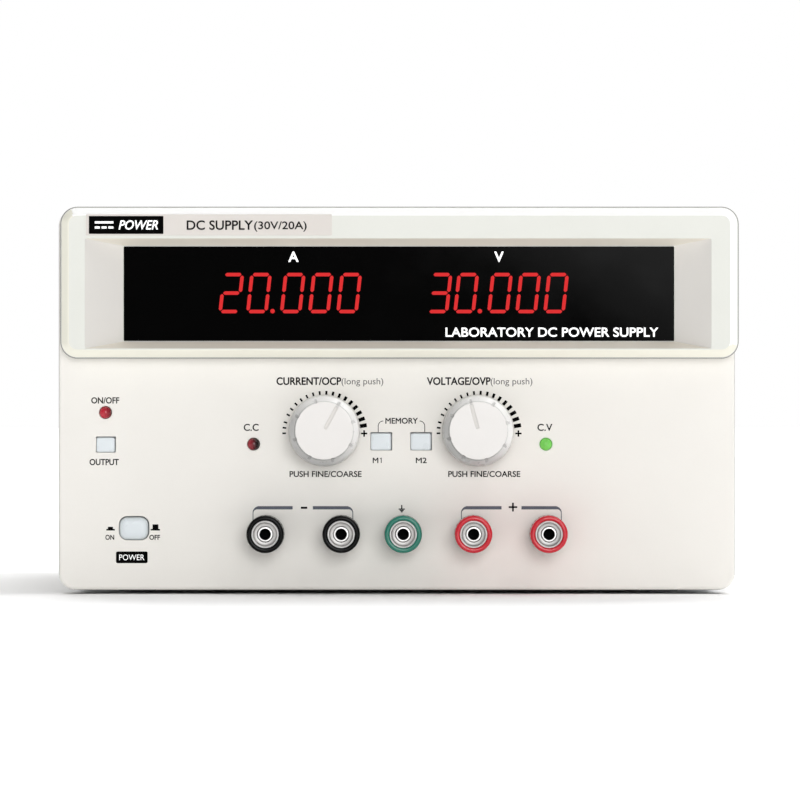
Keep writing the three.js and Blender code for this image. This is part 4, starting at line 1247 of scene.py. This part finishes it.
top_cover()
feet()
rear_panel()
fan_frame()
fan_rotor()
fan_guard()
mains_inlet()
voltage_selector()
capacitors()
for x, y in TRAY_SCREWS:
    for side in (-1, 1):
        screw(lambda u, v, w: (u, v, TRAY_FOOT + w), side * x, y)
piece("case_screws", SCREWS, plated("screw_zinc", (0.55, 0.55, 0.54), 0.3), body="case")


# ---------- floor, light ----------
# The sky's strength overhead and at the horizon, and how many times stronger it is round the front.
SKY_TOP, SKY_EDGE, SKY_FRONT = 0.31, 0.26, 2.0
# The way each sun's light travels, its strength, and how many degrees across it is.
SUNS = {"key": ((-0.13, 0.97, -0.2), 0.9, 24), "rim": ((-0.52, -0.02, -0.85), 1.35, 44),
        "back": ((-0.03, -0.7, -0.7), 2.2, 44)}
FLOOR_SPAN = 14.0


def studio():
    """A white floor that runs out of sight, a sky that the camera sees as white, and three soft suns."""
    mesh = bpy.data.meshes.new("studio_floor")
    corners = [(x * FLOOR_SPAN, y * FLOOR_SPAN, 0) for x, y in ((-1, -1), (1, -1), (1, 1), (-1, 1))]
    mesh.from_pydata(corners, [], [(0, 1, 2, 3)])
    mesh.materials.append(Finish("studio_white", (0.99, 0.99, 0.99), 0.75, specular=0.1).material)
    floor = add_object("studio_floor", mesh)

    world = bpy.data.worlds.new("studio")
    bpy.context.scene.world = world
    world.use_nodes = True
    tree = world.node_tree
    toward = add_node(tree, "ShaderNodeTexCoord", {}).outputs["Generated"]
    toward = add_node(tree, "ShaderNodeSeparateXYZ", {}, toward).outputs
    dome = add_node(tree, "ShaderNodeMapRange", {}, toward["Z"], 0.0, 1.0, SKY_EDGE, SKY_TOP)
    front = add_node(tree, "ShaderNodeMapRange", {}, toward["Y"], -0.6, -0.9, 1.0, SKY_FRONT)
    light = add_node(tree, "ShaderNodeMath", {"operation": "MULTIPLY"}, dome.outputs[0], front.outputs[0])
    seen = add_node(tree, "ShaderNodeLightPath", {}).outputs["Is Camera Ray"]
    strength = add_node(tree, "ShaderNodeMix", {}, Factor=seen, A=light.outputs[0], B=1.0).outputs["Result"]
    background = tree.nodes["Background"].inputs
    background["Color"].default_value = (1, 1, 1, 1)
    feed(tree, background["Strength"], strength)

    for name, (direction, power, softness) in SUNS.items():
        sun = bpy.data.lights.new(name, "SUN")
        sun.energy = power
        sun.angle = math.radians(softness)
        add_object(name, sun).rotation_euler = Vector(direction).to_track_quat("-Z", "Y").to_euler()
    bpy.context.scene.view_settings.view_transform = "Standard"


studio()

for node, obj in frame["nodes"].items():
    obj.data.materials.clear()
    obj.data.materials.append(FINISHES[SLOT_OF[node]])
